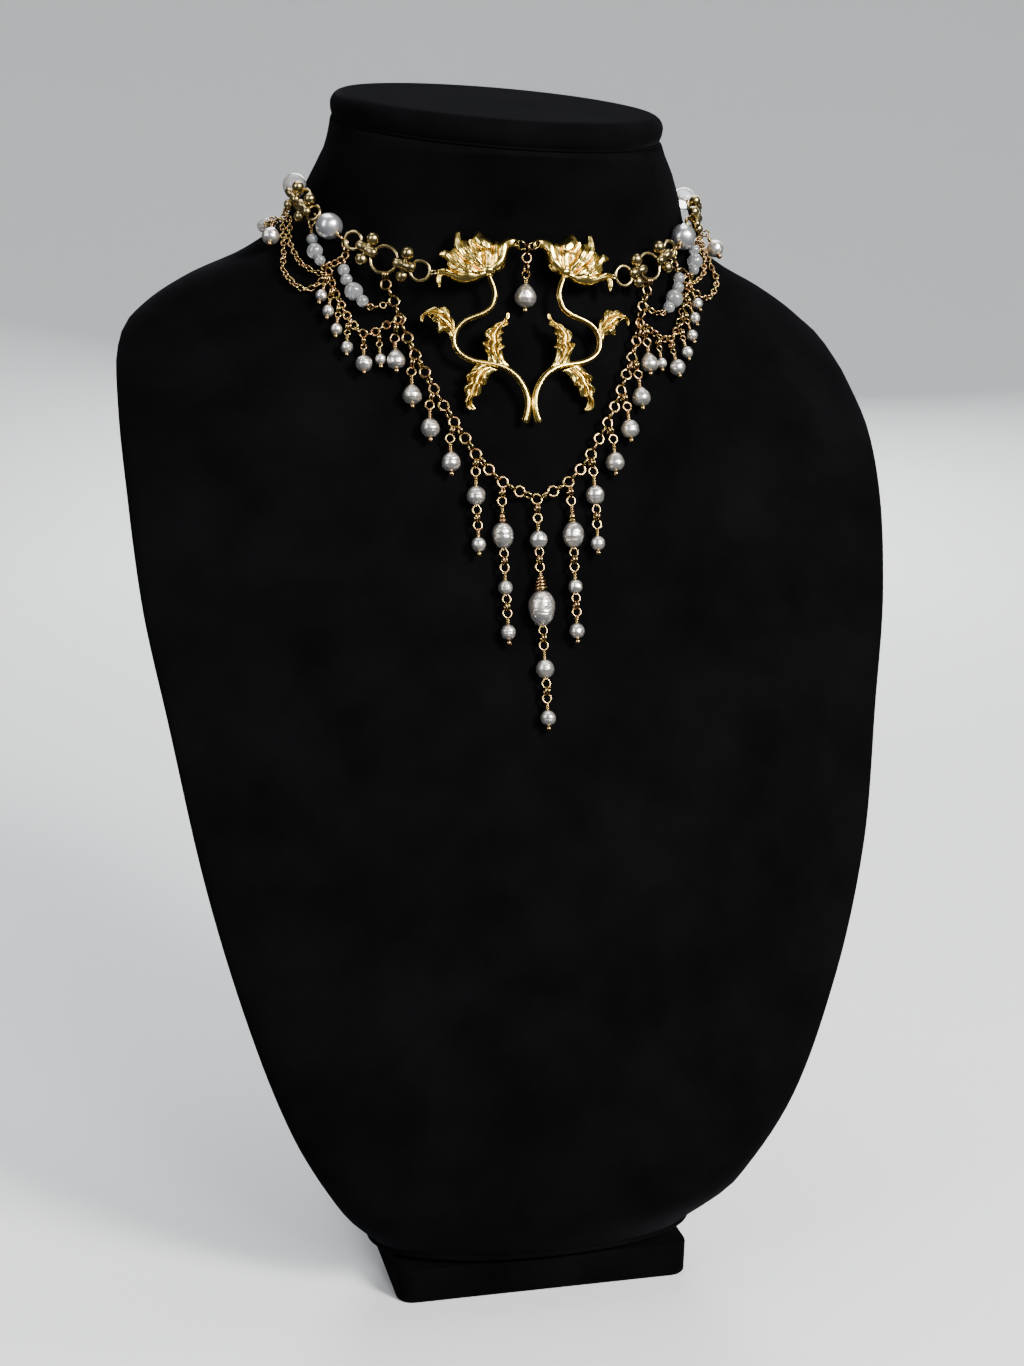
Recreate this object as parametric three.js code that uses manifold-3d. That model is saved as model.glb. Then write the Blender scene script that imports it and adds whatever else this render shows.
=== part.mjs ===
// Choker on a velvet neck bust: millimetres, +Z up, front facing -Y, origin under the middle of the foot.
import * as THREE from "three";
import { mergeVertices } from "three/addons/utils/BufferGeometryUtils.js";
import Module from "manifold-3d";

const wasm = await Module();
wasm.setup();

// ---- driving dimensions -------------------------------------------------------------------------
const GAP = 0.35; // between neighbouring pieces
const SKIN_GAP = 0.5; // between a chain and the bust

const FOOT = { width: 90, depth: 100, height: 10.5, cornerRadius: 5 };
const CAP = {
  halfWidth: 51.8,
  halfDepth: 46,
  thickness: 8,
  edge: 2.6, // radius of its rounded rim
  tiltDeg: 10,
  middleY: 48.2,
  topZ: 348,
};
const BUST_SIDES = 30;
const BUST_LEVELS = [11, 22, 36, 56, 82, 112, 145, 178, 204, 225, 242, 256, 267, 276, 284, 291, 297,
  302, 306.5, 311, 315.5, 320.5, 327];

// Level sections of the bust, from the bottom seam to the neck.
const BUST_SECTIONS = [
  // height, half width, front, widest, back, squareness
  [11, 48.5, -50, -27.5, -5, 2.2],
  [30, 60.5, -57.5, -40, -13, 2.2],
  [55, 75, -58, -43, -14, 2.2],
  [90, 89, -53, -40, -9, 2.2],
  [130, 100, -43.5, -32, 0, 2.2],
  [170, 108, -28.5, -18.5, 13, 2.1],
  [205, 114.5, -16, -6, 29, 2],
  [232, 117, -7.8, 6.5, 48, 1.9],
  [252, 118, -0.5, 22, 69, 1.8],
  [266, 117.5, 4.8, 40, 87, 1.72],
  [277, 114.5, 8.8, 54, 99, 1.68],
  [286, 105.8, 11.5, 60.5, 106, 1.66],
  [294, 93.3, 13.2, 61.5, 108, 1.68],
  [302, 76.6, 13.6, 59.5, 106, 1.75],
  [312, 64, 12.2, 56.5, 101, 1.95],
  [322, 58.8, 7.2, 51.5, 96, 2],
  [336, 52, 1.8, 49, 94.5, 2],
  [352, 49.5, 6, 50, 96, 2],
];

const WIRE = 1.1; // wire diameter of the round links in the band
const BAR = { length: 6.6, thickness: 2.3, ball: 3.7, ballSpread: 3.5 }; // links with a ball above and below
const PIN = 0.9; // head pins and threads
const TIP = 1.7; // the ball at the end of a head pin
const LOOP = { outer: 2, length: 2.6 }; // the loops and jump rings of the drops, as small beads
const MAIN_CHAIN = 2.4; // the tubes that stand for chain
const FESTOON_CHAIN = 1.8;
const THIN_CHAIN = 1.3;
const BACK_CHAIN = 2;
const PLATE = 1.3; // thickness of the flower stampings
const BEAD_STEPS = 4; // steps from end to end of a bead, and of one smaller than SMALL_BEAD
const SMALL_BEAD_STEPS = 3;
const SMALL_BEAD = 1.2;
const SAMPLES = 200; // steps for finding the nearest point of a path

// The places below lie on the right half, as x, y, z. The left half mirrors them.
const BAND_RINGS = {
  // place, height over the bust, outer diameter
  ring_front: [[31.2, 13.1, 297.2], 5.6, 6.9],
  ring_large: [[41, 18.1, 300.1], 4.1, 9.2],
  ring_rear: [[49, 24.3, 305.3], 3.3, 6.2],
};
const BAND_BARS = {
  // place, height over the bust, and the rings at its ends
  bar_front: [[35.5, 14.7, 298.5], 7.25, "ring_front", "ring_large"],
  bar_rear: [[45.3, 20.9, 302.8], 6.1, "ring_large", "ring_rear"],
};
const BAND_PEARLS = {
  // place, radius, and the direction of its wire
  pearl_big: [[55.5, 29.5, 309.2], 4, [3.4, 4.6, 3.6]],
  pearl_rear: [[62.6, 50.9, 320.9], 3.7, [-0.3, 3, 0.6]],
};
// The band behind the big pearl, where the same links crowd together.
const CROWDED_BAND = {
  height: 3.4,
  thread: [[59.4, 34.6, 313.6], [61.6, 39.4, 317], [62.8, 45.4, 319.2]],
  rings: [[[59.9, 35.8, 314.6], 4.6], [[61.8, 40, 317.4], 7]],
  balls: [[60, 34.4, 317.2], [63.2, 37.6, 311.6], [62.2, 41.4, 321], [65, 44.6, 314.6]],
};
const MAIN_ROUTE = [
  [39.3, 16.8, 292.4], [37.8, 14, 287], [36.6, 12, 281.8], [35.2, 10, 278], [33.3, 7.6, 273.3],
  [30.9, 4.9, 268.4], [28.6, 2.6, 263.7], [26.1, 0.3, 259.1], [23.3, -1.8, 254.5], [20.4, -3.8, 250],
  [17.4, -5.6, 245.6], [13.9, -7.3, 241.3], [10, -8.7, 237.8], [5.1, -9.7, 235.2], [1, -10.3, 233.5],
];
const MAIN_GAP = 0.006; // the share of its length between its two solids
const MAIN_SPLIT = 0.37; // the share of the main chain's length that its upper solid takes
// The festoon starts under the rear ring, gathers the strands and swings down to the main chain.
const FESTOON_ROUTE = [
  [51.1, 25, 302.6], [51.5, 24.9, 300.5], [54.3, 25.3, 298.6], [57, 26, 297.4], [55.9, 25, 294],
  [54.7, 22.6, 290.2], [53.3, 20.2, 286.7], [51.2, 17.4, 282.4], [49.4, 15.7, 280],
  [47.2, 14.2, 278.6], [44.6, 13.8, 279], [42.4, 14, 280.4], [40.2, 14.2, 282],
];
const FESTOON_DROPS = [
  // place on the festoon, bead, bead radius
  [[56.2, 25.2, 294.6], [58.4, 23.3, 288.7], 1.7],
  [[55.1, 23.4, 291.4], [56.7, 20.4, 284.4], 1.7],
  [[53.4, 20.3, 287], [54.8, 17, 279.2], 1.7],
  [[51.3, 17.5, 282.6], [52.2, 13.9, 274], 1.75],
  [[47.6, 14.4, 278.8], [47.9, 9.6, 269.6], 2.4],
  [[43.4, 13.8, 279.7], [43.4, 9.4, 271.3], 1.6],
];
const THIN_ROUTES = [
  [[66.4, 46.6, 312.6], [66.8, 43.6, 307.4], [67.6, 38.4, 301.9], [68.4, 34.2, 297.4], [67, 30.4, 294],
    [64.4, 27.4, 291.4], [61.6, 26.2, 291.2], [59.6, 26.8, 293.6]],
  [[66.4, 46.6, 312.6], [65.6, 42.2, 307.6], [65.1, 36.9, 302.4], [63.4, 31.8, 298.6],
    [61.2, 29.2, 296.6], [59.6, 26.8, 293.6]],
];
const STRANDS = {
  // route from top to bottom, and the bead radii along it
  strand_front: {
    route: [[52.3, 23, 298.6], [51.8, 22, 295.6], [50.2, 19, 291.6], [47.6, 16.6, 288.6],
      [44.6, 16, 286.8], [41, 15.8, 287.4]],
    height: 3.1,
    lead: 0.5,
    radii: [1.75, 1.75, 2.7, 1.75],
  },
  strand_rear: {
    route: [[60.2, 33.2, 310.2], [60.5, 31, 305.6], [59.8, 28.6, 301.8], [57.8, 27, 298.3]],
    height: 3.4,
    lead: 2.3,
    radii: [1.5, 2.3, 1.4],
  },
};
const SIDE_DROP = {
  hook: [69.6, 49.4, 311.6],
  loop: [70.6, 46, 309.8],
  pearl: [71, 42.4, 305.8],
  half: [2.7, 2.7],
};
const SHORT_DROPS = {
  // loop, pearl centre, half width and half height of the pearl
  drop_1: { loop: [38.9, 10.8, 277.9], pearl: [39, 8, 272.1], half: [2.6, 3] },
  drop_2: { loop: [34.8, 5.5, 268.5], pearl: [35.1, 2.6, 262.2], half: [2.75, 2.9] },
  drop_3: { loop: [30.2, 0.8, 259.3], pearl: [30.5, -2, 252.9], half: [2.8, 2.85] },
  drop_4: { loop: [24.9, -3.5, 250], pearl: [25, -6, 243.6], half: [2.8, 3] },
};
const LONG_DROPS = {
  // the thread's corners, the pearls with their half widths and heights, and the joining loops
  drop_5: {
    thread: [[17.9, -7.4, 240.8], [18.1, -9.8, 234.1], [18.2, -12.6, 226], [18.1, -14.2, 220.4]],
    pearls: [[[18.1, -9.8, 234.1], [2.85, 2.95]], [[18.1, -14.2, 220.4], [2.15, 2.2]]],
    loops: [[18.1, -11.8, 227.8]],
  },
  drop_6: {
    thread: [[10.5, -10.5, 232.4], [10.7, -13.5, 222.8], [10.6, -15.6, 215.8], [10.6, -17.8, 208.2],
      [10.4, -22, 195.8]],
    pearls: [[[10.7, -13.5, 222.8], [3.2, 3.9]], [[10.6, -17.8, 208.2], [2.1, 2.1]],
      [[10.4, -22, 195.8], [2.25, 2.3]]],
    loops: [[10.6, -15.6, 215.8], [10.5, -19.6, 202.9]],
  },
  drop_centre: {
    thread: [[0, -12.2, 227.4], [0, -13.9, 221.6], [0, -15.6, 215.7], [0, -19.8, 202.4],
      [0, -22.8, 193.9], [0, -25.7, 185.5], [0, -28, 179.3], [0, -30.7, 171.9]],
    pearls: [[[0, -13.9, 221.6], [2.65, 2.65]], [[0, -19.8, 202.4], [4.1, 5.3]], [[0, -25.7, 185.5],
      [2.75, 2.8]], [[0, -30.7, 171.9], [2.25, 2.3]]],
    loops: [[0, -15.6, 215.7], [0, -22.8, 193.9], [0, -28, 179.3]],
  },
};
const BACK = {
  upper: [[62, 56.4, 321.6], [60.4, 64, 321.9], [56, 73, 322.4], [47, 84, 323], [31, 93.5, 323.6],
    [5.5, 98.5, 324]],
  lower: [[69.4, 52.6, 311.4], [71.4, 60, 309.4], [69, 71, 310.6], [61, 84, 313.4], [46, 95, 317],
    [28, 101, 320.4], [5.5, 99, 324]],
  beads: [[71.2, 57.6, 309.8], [71.3, 61.4, 309.4]],
  beadRadius: 1.9,
  steps: 12,
  skinGap: 1.2, // it lies less closely round the back
};
const CLASP = { length: 9, thickness: 4.6, y: 99.6, z: 324 };
const CENTRE_LINKS = { middleY: 9.2, heights: [305.2, 301.9, 298.9], length: 3.2, tieHalfWidth: 3.4 };
const CENTRE_PEARL = { middle: [0, 9.3, 290.9], half: [3.25, 3.5], loopHeight: 295.7 };

// A flower stamping is flat. Its outlines run outwards from the middle line and up from the plane's height.
const PLANE = { y: 3.7, z: 280, outwardSlope: 0.11, backwardSlope: 0.253 };
const STEM = { wide: 1.5, steps: 26, sides: 5 };
const STEM_LINE = [
  [12.4, 17.4], [10.8, 14.2], [10, 11.2], [10.6, 8.6], [12.8, 6.4], [17.6, 4], [20.8, 1.6], [22.5, -1.4],
  [22.3, -4.4], [20.4, -7], [17, -8.5], [10, -10], [6, -11.4], [3.4, -13.8], [2, -16.6], [1.3, -20],
  [1.5, -23.4], [2.4, -26.4],
];
const OUTLINES = {
  bloom: [[3.2, 25], [4.2, 28.2], [6.8, 27.6], [8.4, 24.4], [9.6, 26.5], [12.4, 26], [14.3, 29.9],
    [16.6, 27.2], [20.4, 29.6], [21.4, 25.4], [26.2, 22.6], [23.4, 20], [28.2, 16.6], [26.7, 13],
    [24.8, 14.9], [20, 13.6], [15, 14.4], [11.2, 16.4], [8.6, 19.6], [7.2, 23.2], [5.2, 25.3]],
  outerLeaf: [[22, -2.6], [22.8, 3.4], [24.4, 6.2], [28.4, 6.9], [32, 4.6], [32.6, 2.2], [28.6, 1.8],
    [27, -1.2], [24.6, -1.4]],
  innerLeaf: [[8, -11], [12.4, -7.4], [14, -3.4], [13, 1], [9.2, 3.8], [6.4, 6], [6.4, 2], [8.4, 0.4],
    [9, -3.4], [8.4, -7]],
  lowerLeaf: [[9.4, -9.8], [15, -10.2], [18.8, -13.6], [19.6, -19.6], [17, -22.9], [16.4, -19.8],
    [14.6, -17.6], [12.6, -13.4]],
};
const TIP_HOLE = { at: [4.4, 26.8], diameter: 1.3 };

// ---- the bust's surface -------------------------------------------------------------------------
// Slopes of a section column that keep it from overshooting between its rows.
function slopesOf(column) {
  const rows = BUST_SECTIONS;
  const step = (i) => rows[i + 1][0] - rows[i][0];
  const rise = (i) => (rows[i + 1][column] - rows[i][column]) / step(i);
  const last = rows.length - 1;
  return rows.map((_, i) => {
    if (i === 0) return rise(0);
    if (i === last) return rise(last - 1);
    if (rise(i - 1) * rise(i) <= 0) return 0;
    const before = 2 * step(i) + step(i - 1);
    const after = step(i) + 2 * step(i - 1);
    return (before + after) / (before / rise(i - 1) + after / rise(i));
  });
}
const SLOPES = [1, 2, 3, 4, 5].map(slopesOf);

// Half width, front, widest, back and squareness of the bust at a height.
function sectionAt(height) {
  const last = BUST_SECTIONS.length - 1;
  const z = THREE.MathUtils.clamp(height, BUST_SECTIONS[0][0], BUST_SECTIONS[last][0]);
  let i = 0;
  while (i + 1 < last && z > BUST_SECTIONS[i + 1][0]) i++;
  const [low, high] = [BUST_SECTIONS[i], BUST_SECTIONS[i + 1]];
  const h = high[0] - low[0];
  const t = (z - low[0]) / h;
  const s = 1 - t;
  return SLOPES.map((slope, k) =>
    low[k + 1] * (1 + 2 * t) * s * s + high[k + 1] * t * t * (1 + 2 * s)
    + h * slope[i] * t * s * s - h * slope[i + 1] * t * t * s);
}

// How far a place lies outside the bust, as a value that grows outwards from 0 at the skin.
function outside(p) {
  const [halfWidth, front, widest, back, power] = sectionAt(p.z);
  const dy = p.y - widest;
  const half = dy < 0 ? widest - front : back - widest;
  const reach = (Math.abs(p.x / halfWidth) ** power + Math.abs(dy / half) ** power) ** (1 / power);
  return (reach - 1) * Math.min(halfWidth, half);
}

function gradient(p) {
  const step = 0.3;
  const change = (...shift) => {
    const d = new THREE.Vector3(...shift);
    return (outside(p.clone().add(d)) - outside(p.clone().sub(d))) / (2 * step);
  };
  return new THREE.Vector3(change(step, 0, 0), change(0, step, 0), change(0, 0, step));
}

const outward = (p) => gradient(p).normalize();

// The place near x, y, z that stands off the skin by the given height.
function seat(xyz, height) {
  const p = new THREE.Vector3(...xyz);
  for (let i = 0; i < 12; i++) {
    const g = gradient(p);
    const size = g.length();
    p.addScaledVector(g, -(outside(p) / size - height) / size);
  }
  return p;
}

const mirror = (xyz, side) => [xyz[0] * side, xyz[1], xyz[2]];

// ---- solids -------------------------------------------------------------------------------------
function solid(geometry) {
  const g = geometry.index ? geometry.toNonIndexed() : geometry.clone();
  g.deleteAttribute("normal");
  g.deleteAttribute("uv");
  const merged = mergeVertices(g, 1e-4);
  return new wasm.Manifold(new wasm.Mesh({
    numProp: 3,
    vertProperties: merged.attributes.position.array,
    triVerts: new Uint32Array(merged.index.array),
  }));
}

function geometryOf(made) {
  const m = made.getMesh();
  const v = new Float32Array(m.numVert * 3);
  for (let i = 0; i < m.numVert; i++)
    v.set(m.vertProperties.subarray(i * m.numProp, i * m.numProp + 3), i * 3);
  return new THREE.BufferGeometry()
    .setAttribute("position", new THREE.BufferAttribute(v, 3))
    .setIndex(new THREE.BufferAttribute(m.triVerts, 1));
}

const join = (geometries) => geometryOf(wasm.Manifold.union(geometries.map(solid)));

function polygon(radius, sides) {
  const corners = [];
  for (let i = 0; i < sides; i++) {
    const a = (2 * Math.PI * i) / sides;
    corners.push(new THREE.Vector2(radius * Math.cos(a), radius * Math.sin(a)));
  }
  return new THREE.Shape(corners);
}

const curveThrough = (points) =>
  points.length > 2
    ? new THREE.CatmullRomCurve3(points, false, "centripetal")
    : new THREE.LineCurve3(...points);

function tube(points, diameter, steps, sides = 6) {
  const shape = polygon(diameter / 2, sides);
  return new THREE.ExtrudeGeometry(shape, { steps, bevelEnabled: false, extrudePath: curveThrough(points) });
}

function ring(centre, axis, outer, wire, around, sides = 5) {
  const up = new THREE.Vector3(0, 0, 1);
  const turn = new THREE.Quaternion().setFromUnitVectors(up, axis.clone().normalize());
  return new THREE.TorusGeometry((outer - wire) / 2, wire / 2, sides, around)
    .applyQuaternion(turn)
    .translate(centre.x, centre.y, centre.z);
}

const toward = (a, b, distance) => a.clone().addScaledVector(b.clone().sub(a).normalize(), distance);

// ---- bust ---------------------------------------------------------------------------------------
// A closed skin over rows of points that all have as many points, from the bottom up.
function loft(rows) {
  const sides = rows[0].length;
  const faces = [];
  for (let r = 0; r + 1 < rows.length; r++)
    for (let i = 0; i < sides; i++) {
      const [a, b] = [r * sides + i, r * sides + ((i + 1) % sides)];
      faces.push(a, b, b + sides, a, b + sides, a + sides);
    }
  const middle = (row) => row.reduce((sum, p) => sum.add(p), new THREE.Vector3()).divideScalar(sides);
  const points = rows.flat();
  const bottom = points.push(middle(rows[0])) - 1;
  const top = points.push(middle(rows[rows.length - 1])) - 1;
  const lastRow = (rows.length - 1) * sides;
  for (let i = 0; i < sides; i++) {
    const j = (i + 1) % sides;
    faces.push(bottom, j, i, top, lastRow + i, lastRow + j);
  }
  return new THREE.BufferGeometry().setFromPoints(points).setIndex(faces);
}

function bustRow(height, heightAt = () => height) {
  const [halfWidth, front, widest, back, power] = sectionAt(height);
  const row = [];
  for (let i = 0; i < BUST_SIDES; i++) {
    const a = (2 * Math.PI * i) / BUST_SIDES;
    const [c, s] = [Math.cos(a), Math.sin(a)];
    const half = s < 0 ? widest - front : back - widest;
    const y = widest + Math.sign(s) * half * Math.abs(s) ** (2 / power);
    row.push(new THREE.Vector3(Math.sign(c) * halfWidth * Math.abs(c) ** (2 / power), y, heightAt(y)));
  }
  return row;
}

const capTilt = THREE.MathUtils.degToRad(CAP.tiltDeg);

function bustBody() {
  const drop = (CAP.thickness + GAP) / Math.cos(capTilt);
  const rows = BUST_LEVELS.map((height) => bustRow(height));
  rows.push(bustRow(336, (y) => CAP.topZ + (y - CAP.middleY) * Math.tan(capTilt) - drop));
  return loft(rows);
}

function neckCap() {
  const { halfWidth, halfDepth, thickness, edge } = CAP;
  // height and inset of each level of the rounded rim
  const profile = [
    [-thickness, edge * 0.6],
    [-thickness + edge * 0.6, 0],
    [-edge, 0],
    [-edge * 0.3, edge * 0.3],
    [0, edge],
  ];
  const rows = profile.map(([height, inset]) => {
    const row = [];
    for (let i = 0; i < BUST_SIDES; i++) {
      const a = (2 * Math.PI * i) / BUST_SIDES;
      const [x, y] = [(halfWidth - inset) * Math.cos(a), (halfDepth - inset) * Math.sin(a)];
      row.push(new THREE.Vector3(x, y, height));
    }
    return row;
  });
  return loft(rows).rotateX(capTilt).translate(0, CAP.middleY, CAP.topZ);
}

function footBlock() {
  const [w, d, r] = [FOOT.width / 2, FOOT.depth / 2, FOOT.cornerRadius];
  const shape = new THREE.Shape()
    .moveTo(-w + r, -d)
    .lineTo(w - r, -d)
    .absarc(w - r, -d + r, r, -Math.PI / 2, 0)
    .lineTo(w, d - r)
    .absarc(w - r, d - r, r, 0, Math.PI / 2)
    .lineTo(-w + r, d)
    .absarc(-w + r, d - r, r, Math.PI / 2, Math.PI)
    .lineTo(-w, -d + r)
    .absarc(-w + r, -d + r, r, Math.PI, Math.PI * 1.5);
  return new THREE.ExtrudeGeometry(shape, { depth: FOOT.height, bevelEnabled: false, curveSegments: 3 });
}

// ---- beads on a thread --------------------------------------------------------------------------
// A thread with its beads, as one skin of circles across the path. A bead is its distance along the path,
// its half width and its half length.
function beaded(points, beads, sides = 7, thread = PIN) {
  const path = curveThrough(points);
  const whole = path.getLength();
  const circles = [[0, thread / 2], [whole, thread / 2]];
  for (const [middle, halfWidth, halfLength] of beads) {
    const steps = halfWidth < SMALL_BEAD ? SMALL_BEAD_STEPS : BEAD_STEPS;
    for (let i = 0; i <= steps; i++) {
      const a = (Math.PI * i) / steps;
      circles.push([middle - halfLength * Math.cos(a), Math.max(halfWidth * Math.sin(a), thread / 2)]);
    }
  }
  const inOrder = circles
    .filter(([distance]) => distance >= 0 && distance <= whole)
    .sort((a, b) => a[0] - b[0]);
  const facing = outward(path.getPointAt(0.5));
  return loft(inOrder.map(([distance, radius]) => {
    const along = path.getTangentAt(distance / whole);
    const across = facing.clone().cross(along).normalize();
    const third = along.clone().cross(across);
    const middle = path.getPointAt(distance / whole);
    return polygon(radius, sides).getPoints().slice(0, sides)
      .map(({ x, y }) => middle.clone().addScaledVector(across, x).addScaledVector(third, y));
  }));
}

// How far along the path through the points the place lies.
function distanceTo(place, points) {
  const path = curveThrough(points);
  const reach = path.getSpacedPoints(SAMPLES).map((p) => p.distanceTo(place));
  return (path.getLength() * reach.indexOf(Math.min(...reach))) / SAMPLES;
}

// ---- flowers ------------------------------------------------------------------------------------
// The frame of a flower's plane: columns run outwards, up and forwards.
function flowerFrame(side) {
  const out = new THREE.Vector3(side, PLANE.outwardSlope, 0).normalize();
  const forward = new THREE.Vector3(side * PLANE.outwardSlope, -1, PLANE.backwardSlope).normalize();
  const up = forward.clone().cross(out).multiplyScalar(side);
  return new THREE.Matrix4().makeBasis(out, up, forward).setPosition(0, PLANE.y, PLANE.z);
}

// A basis that mirrors turns the faces inside out, so they are turned back.
function inFrame(geometry, matrix) {
  const g = geometry.toNonIndexed().applyMatrix4(matrix);
  if (matrix.determinant() > 0) return g;
  const a = g.attributes.position;
  for (let i = 0; i < a.count; i += 3) {
    const [second, third] = [1, 2].map((k) => new THREE.Vector3().fromBufferAttribute(a, i + k));
    a.setXYZ(i + 1, ...third);
    a.setXYZ(i + 2, ...second);
  }
  return g;
}

function flower(side) {
  const frame = flowerFrame(side);
  const plates = Object.values(OUTLINES).map((outline) => {
    const shape = new THREE.Shape(outline.map(([u, v]) => new THREE.Vector2(u, v)));
    const plate = new THREE.ExtrudeGeometry(shape, { depth: PLATE, bevelEnabled: false });
    return plate.translate(0, 0, -PLATE / 2);
  });
  const stem = tube(STEM_LINE.map(([u, v]) => new THREE.Vector3(u, v, 0)), STEM.wide, STEM.steps, STEM.sides);
  const [u, v] = TIP_HOLE.at;
  const drill = tube([new THREE.Vector3(u, v, -2), new THREE.Vector3(u, v, 2)], TIP_HOLE.diameter, 1);
  const made = wasm.Manifold.union([...plates, stem].map(solid)).subtract(solid(drill));
  return inFrame(geometryOf(made), frame);
}

// ---- the band -----------------------------------------------------------------------------------
// A bar across two rings, with a ball above it and a ball below it.
function barLink(place, from, to) {
  const out = outward(place);
  const along = to.clone().sub(from).normalize();
  const across = out.clone().cross(along).normalize();
  const at = (direction, distance) => place.clone().addScaledVector(direction, distance);
  const reach = BAR.ballSpread + BAR.ball / 2;
  const radius = BAR.ball / 2;
  const balls = [radius, 2 * reach - radius].map((middle) => [middle, radius, radius]);
  return join([
    tube([at(along, -BAR.length / 2), at(along, BAR.length / 2)], BAR.thickness, 1),
    beaded([at(across, -reach), at(across, reach)], balls),
  ]);
}

// A round pearl on a wire that ends in a loop on each side.
function wiredPearl([xyz, radius, direction], side) {
  const centre = seat(mirror(xyz, side), radius + GAP);
  const along = new THREE.Vector3(...mirror(direction, side)).normalize();
  const reach = radius + LOOP.length * 0.8;
  const ends = [-1, 1].map((s) => centre.clone().addScaledVector(along, s * reach));
  const half = LOOP.length / 3;
  const loops = [half, 2 * reach - half].map((middle) => [middle, LOOP.outer / 2, half]);
  return beaded(ends, [[reach, radius, radius], ...loops], 10);
}

function crowdedBand(side) {
  const { height, thread, rings, balls } = CROWDED_BAND;
  const place = (xyz, lift = height) => seat(mirror(xyz, side), lift);
  const spine = thread.map((xyz) => place(xyz));
  const pieces = [tube(spine, BAR.thickness * 0.8, 4, 5)];
  for (const [xyz, outer] of rings) pieces.push(ring(place(xyz), outward(place(xyz)), outer, WIRE, 8, 4));
  for (const xyz of balls) {
    const centre = place(xyz, height + 0.8);
    const root = spine.reduce((best, p) => (p.distanceTo(centre) < best.distanceTo(centre) ? p : best));
    const far = toward(centre, root, -BAR.ball / 2);
    pieces.push(beaded([far, root], [[BAR.ball / 2, BAR.ball / 2, BAR.ball / 2]], 6));
  }
  return join(pieces);
}

// ---- chains and strands -------------------------------------------------------------------------
// The route laid over the skin at a height, in even steps.
function draped(route, side, height, steps) {
  const path = curveThrough(route.map((xyz) => seat(mirror(xyz, side), height)));
  return path.getSpacedPoints(steps).map((p) => seat(p.toArray(), height));
}

const chain = (route, side, diameter, steps, skinGap = SKIN_GAP) =>
  tube(draped(route, side, diameter / 2 + skinGap, steps), diameter, steps);

const mainPath = curveThrough(MAIN_ROUTE.map((xyz) => seat(xyz, MAIN_CHAIN / 2 + GAP)));

// The stretch of the main chain between two shares of its length.
function mainChain(from, to, steps, side) {
  const points = [];
  for (let i = 0; i <= steps; i++) {
    const p = mainPath.getPointAt(from + ((to - from) * i) / steps);
    points.push(new THREE.Vector3(p.x * side, p.y, p.z));
  }
  return tube(points, MAIN_CHAIN, steps);
}

function beadStrand({ route, height, lead, radii }, side) {
  const beads = [];
  let run = lead;
  for (const radius of radii) {
    beads.push([run + radius, radius, radius]);
    run += 2 * radius + 0.1;
  }
  return beaded(route.map((xyz) => seat(mirror(xyz, side), height)), beads);
}

function festoon(side) {
  const pieces = [chain(FESTOON_ROUTE, side, FESTOON_CHAIN, 24)];
  for (const [hook, bead, radius] of FESTOON_DROPS) {
    const top = seat(mirror(hook, side), FESTOON_CHAIN / 2 + GAP);
    const centre = seat(mirror(bead, side), radius + GAP);
    const tip = toward(centre, top, -radius - TIP);
    const reach = top.distanceTo(centre);
    const beads = [[reach, radius, radius], [reach + radius + TIP / 2, TIP / 2, TIP / 2]];
    pieces.push(beaded([top, tip], beads, 6));
  }
  return join(pieces);
}

function backChain(side) {
  const lower = draped(BACK.lower, side, BACK_CHAIN / 2 + BACK.skinGap, BACK.steps);
  const beads = BACK.beads.map((xyz) => {
    const place = new THREE.Vector3(...mirror(xyz, side));
    return [distanceTo(place, lower), BACK.beadRadius, BACK.beadRadius];
  });
  const bend = curveThrough(lower).getLength() / BACK.steps;
  const bends = lower.map((_, i) => [bend * i, 0, 0]);
  return join([
    chain(BACK.upper, side, BACK_CHAIN, BACK.steps, BACK.skinGap),
    beaded(lower, [...beads, ...bends], 6, BACK_CHAIN),
  ]);
}

// ---- drops --------------------------------------------------------------------------------------
// A drop that hangs from hook: its own loop, then pearls and loops along its thread, then the head pin's tip.
function drop({ hook, thread, pearls, loops }, side) {
  const place = (xyz) => {
    const here = pearls.find(([at]) => at[2] === xyz[2]);
    return seat(mirror(xyz, side), Math.max(here ? here[1][0] : 0, MAIN_CHAIN / 2) + GAP);
  };
  const line = thread.map(place);
  const lastHalf = pearls[pearls.length - 1][1][1];
  const tip = toward(line[line.length - 1], line[line.length - 2], -lastHalf - TIP);
  const points = [toward(hook, line[0], MAIN_CHAIN / 2 + GAP), ...line, tip];
  const whole = curveThrough(points).getLength();
  return beaded(points, [
    ...[line[0], ...loops.map(place)].map((at) => [distanceTo(at, points), LOOP.outer / 2, LOOP.length / 2]),
    ...pearls.map(([at, [halfWidth, halfHeight]]) => [distanceTo(place(at), points), halfWidth, halfHeight]),
    [whole - TIP / 2, TIP / 2, TIP / 2],
  ]);
}

// The point of the main chain nearest to a drop's first loop.
function hookFor(loop, side) {
  const wanted = new THREE.Vector3(...loop);
  const nearest = mainPath.getSpacedPoints(SAMPLES)
    .reduce((best, p) => (p.distanceTo(wanted) < best.distanceTo(wanted) ? p : best));
  return new THREE.Vector3(nearest.x * side, nearest.y, nearest.z);
}

const shortDrop = ({ loop, pearl, half }, side) =>
  drop({ hook: hookFor(loop, side), thread: [loop, pearl], pearls: [[pearl, half]], loops: [] }, side);

const longDrop = (made, side) => drop({ ...made, hook: hookFor(made.thread[0], side) }, side);

function sideDrop(side) {
  const { hook, loop, pearl, half } = SIDE_DROP;
  const from = seat(mirror(hook, side), BACK_CHAIN / 2 + GAP);
  return drop({ hook: from, thread: [loop, pearl], pearls: [[pearl, half]], loops: [] }, side);
}

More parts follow.
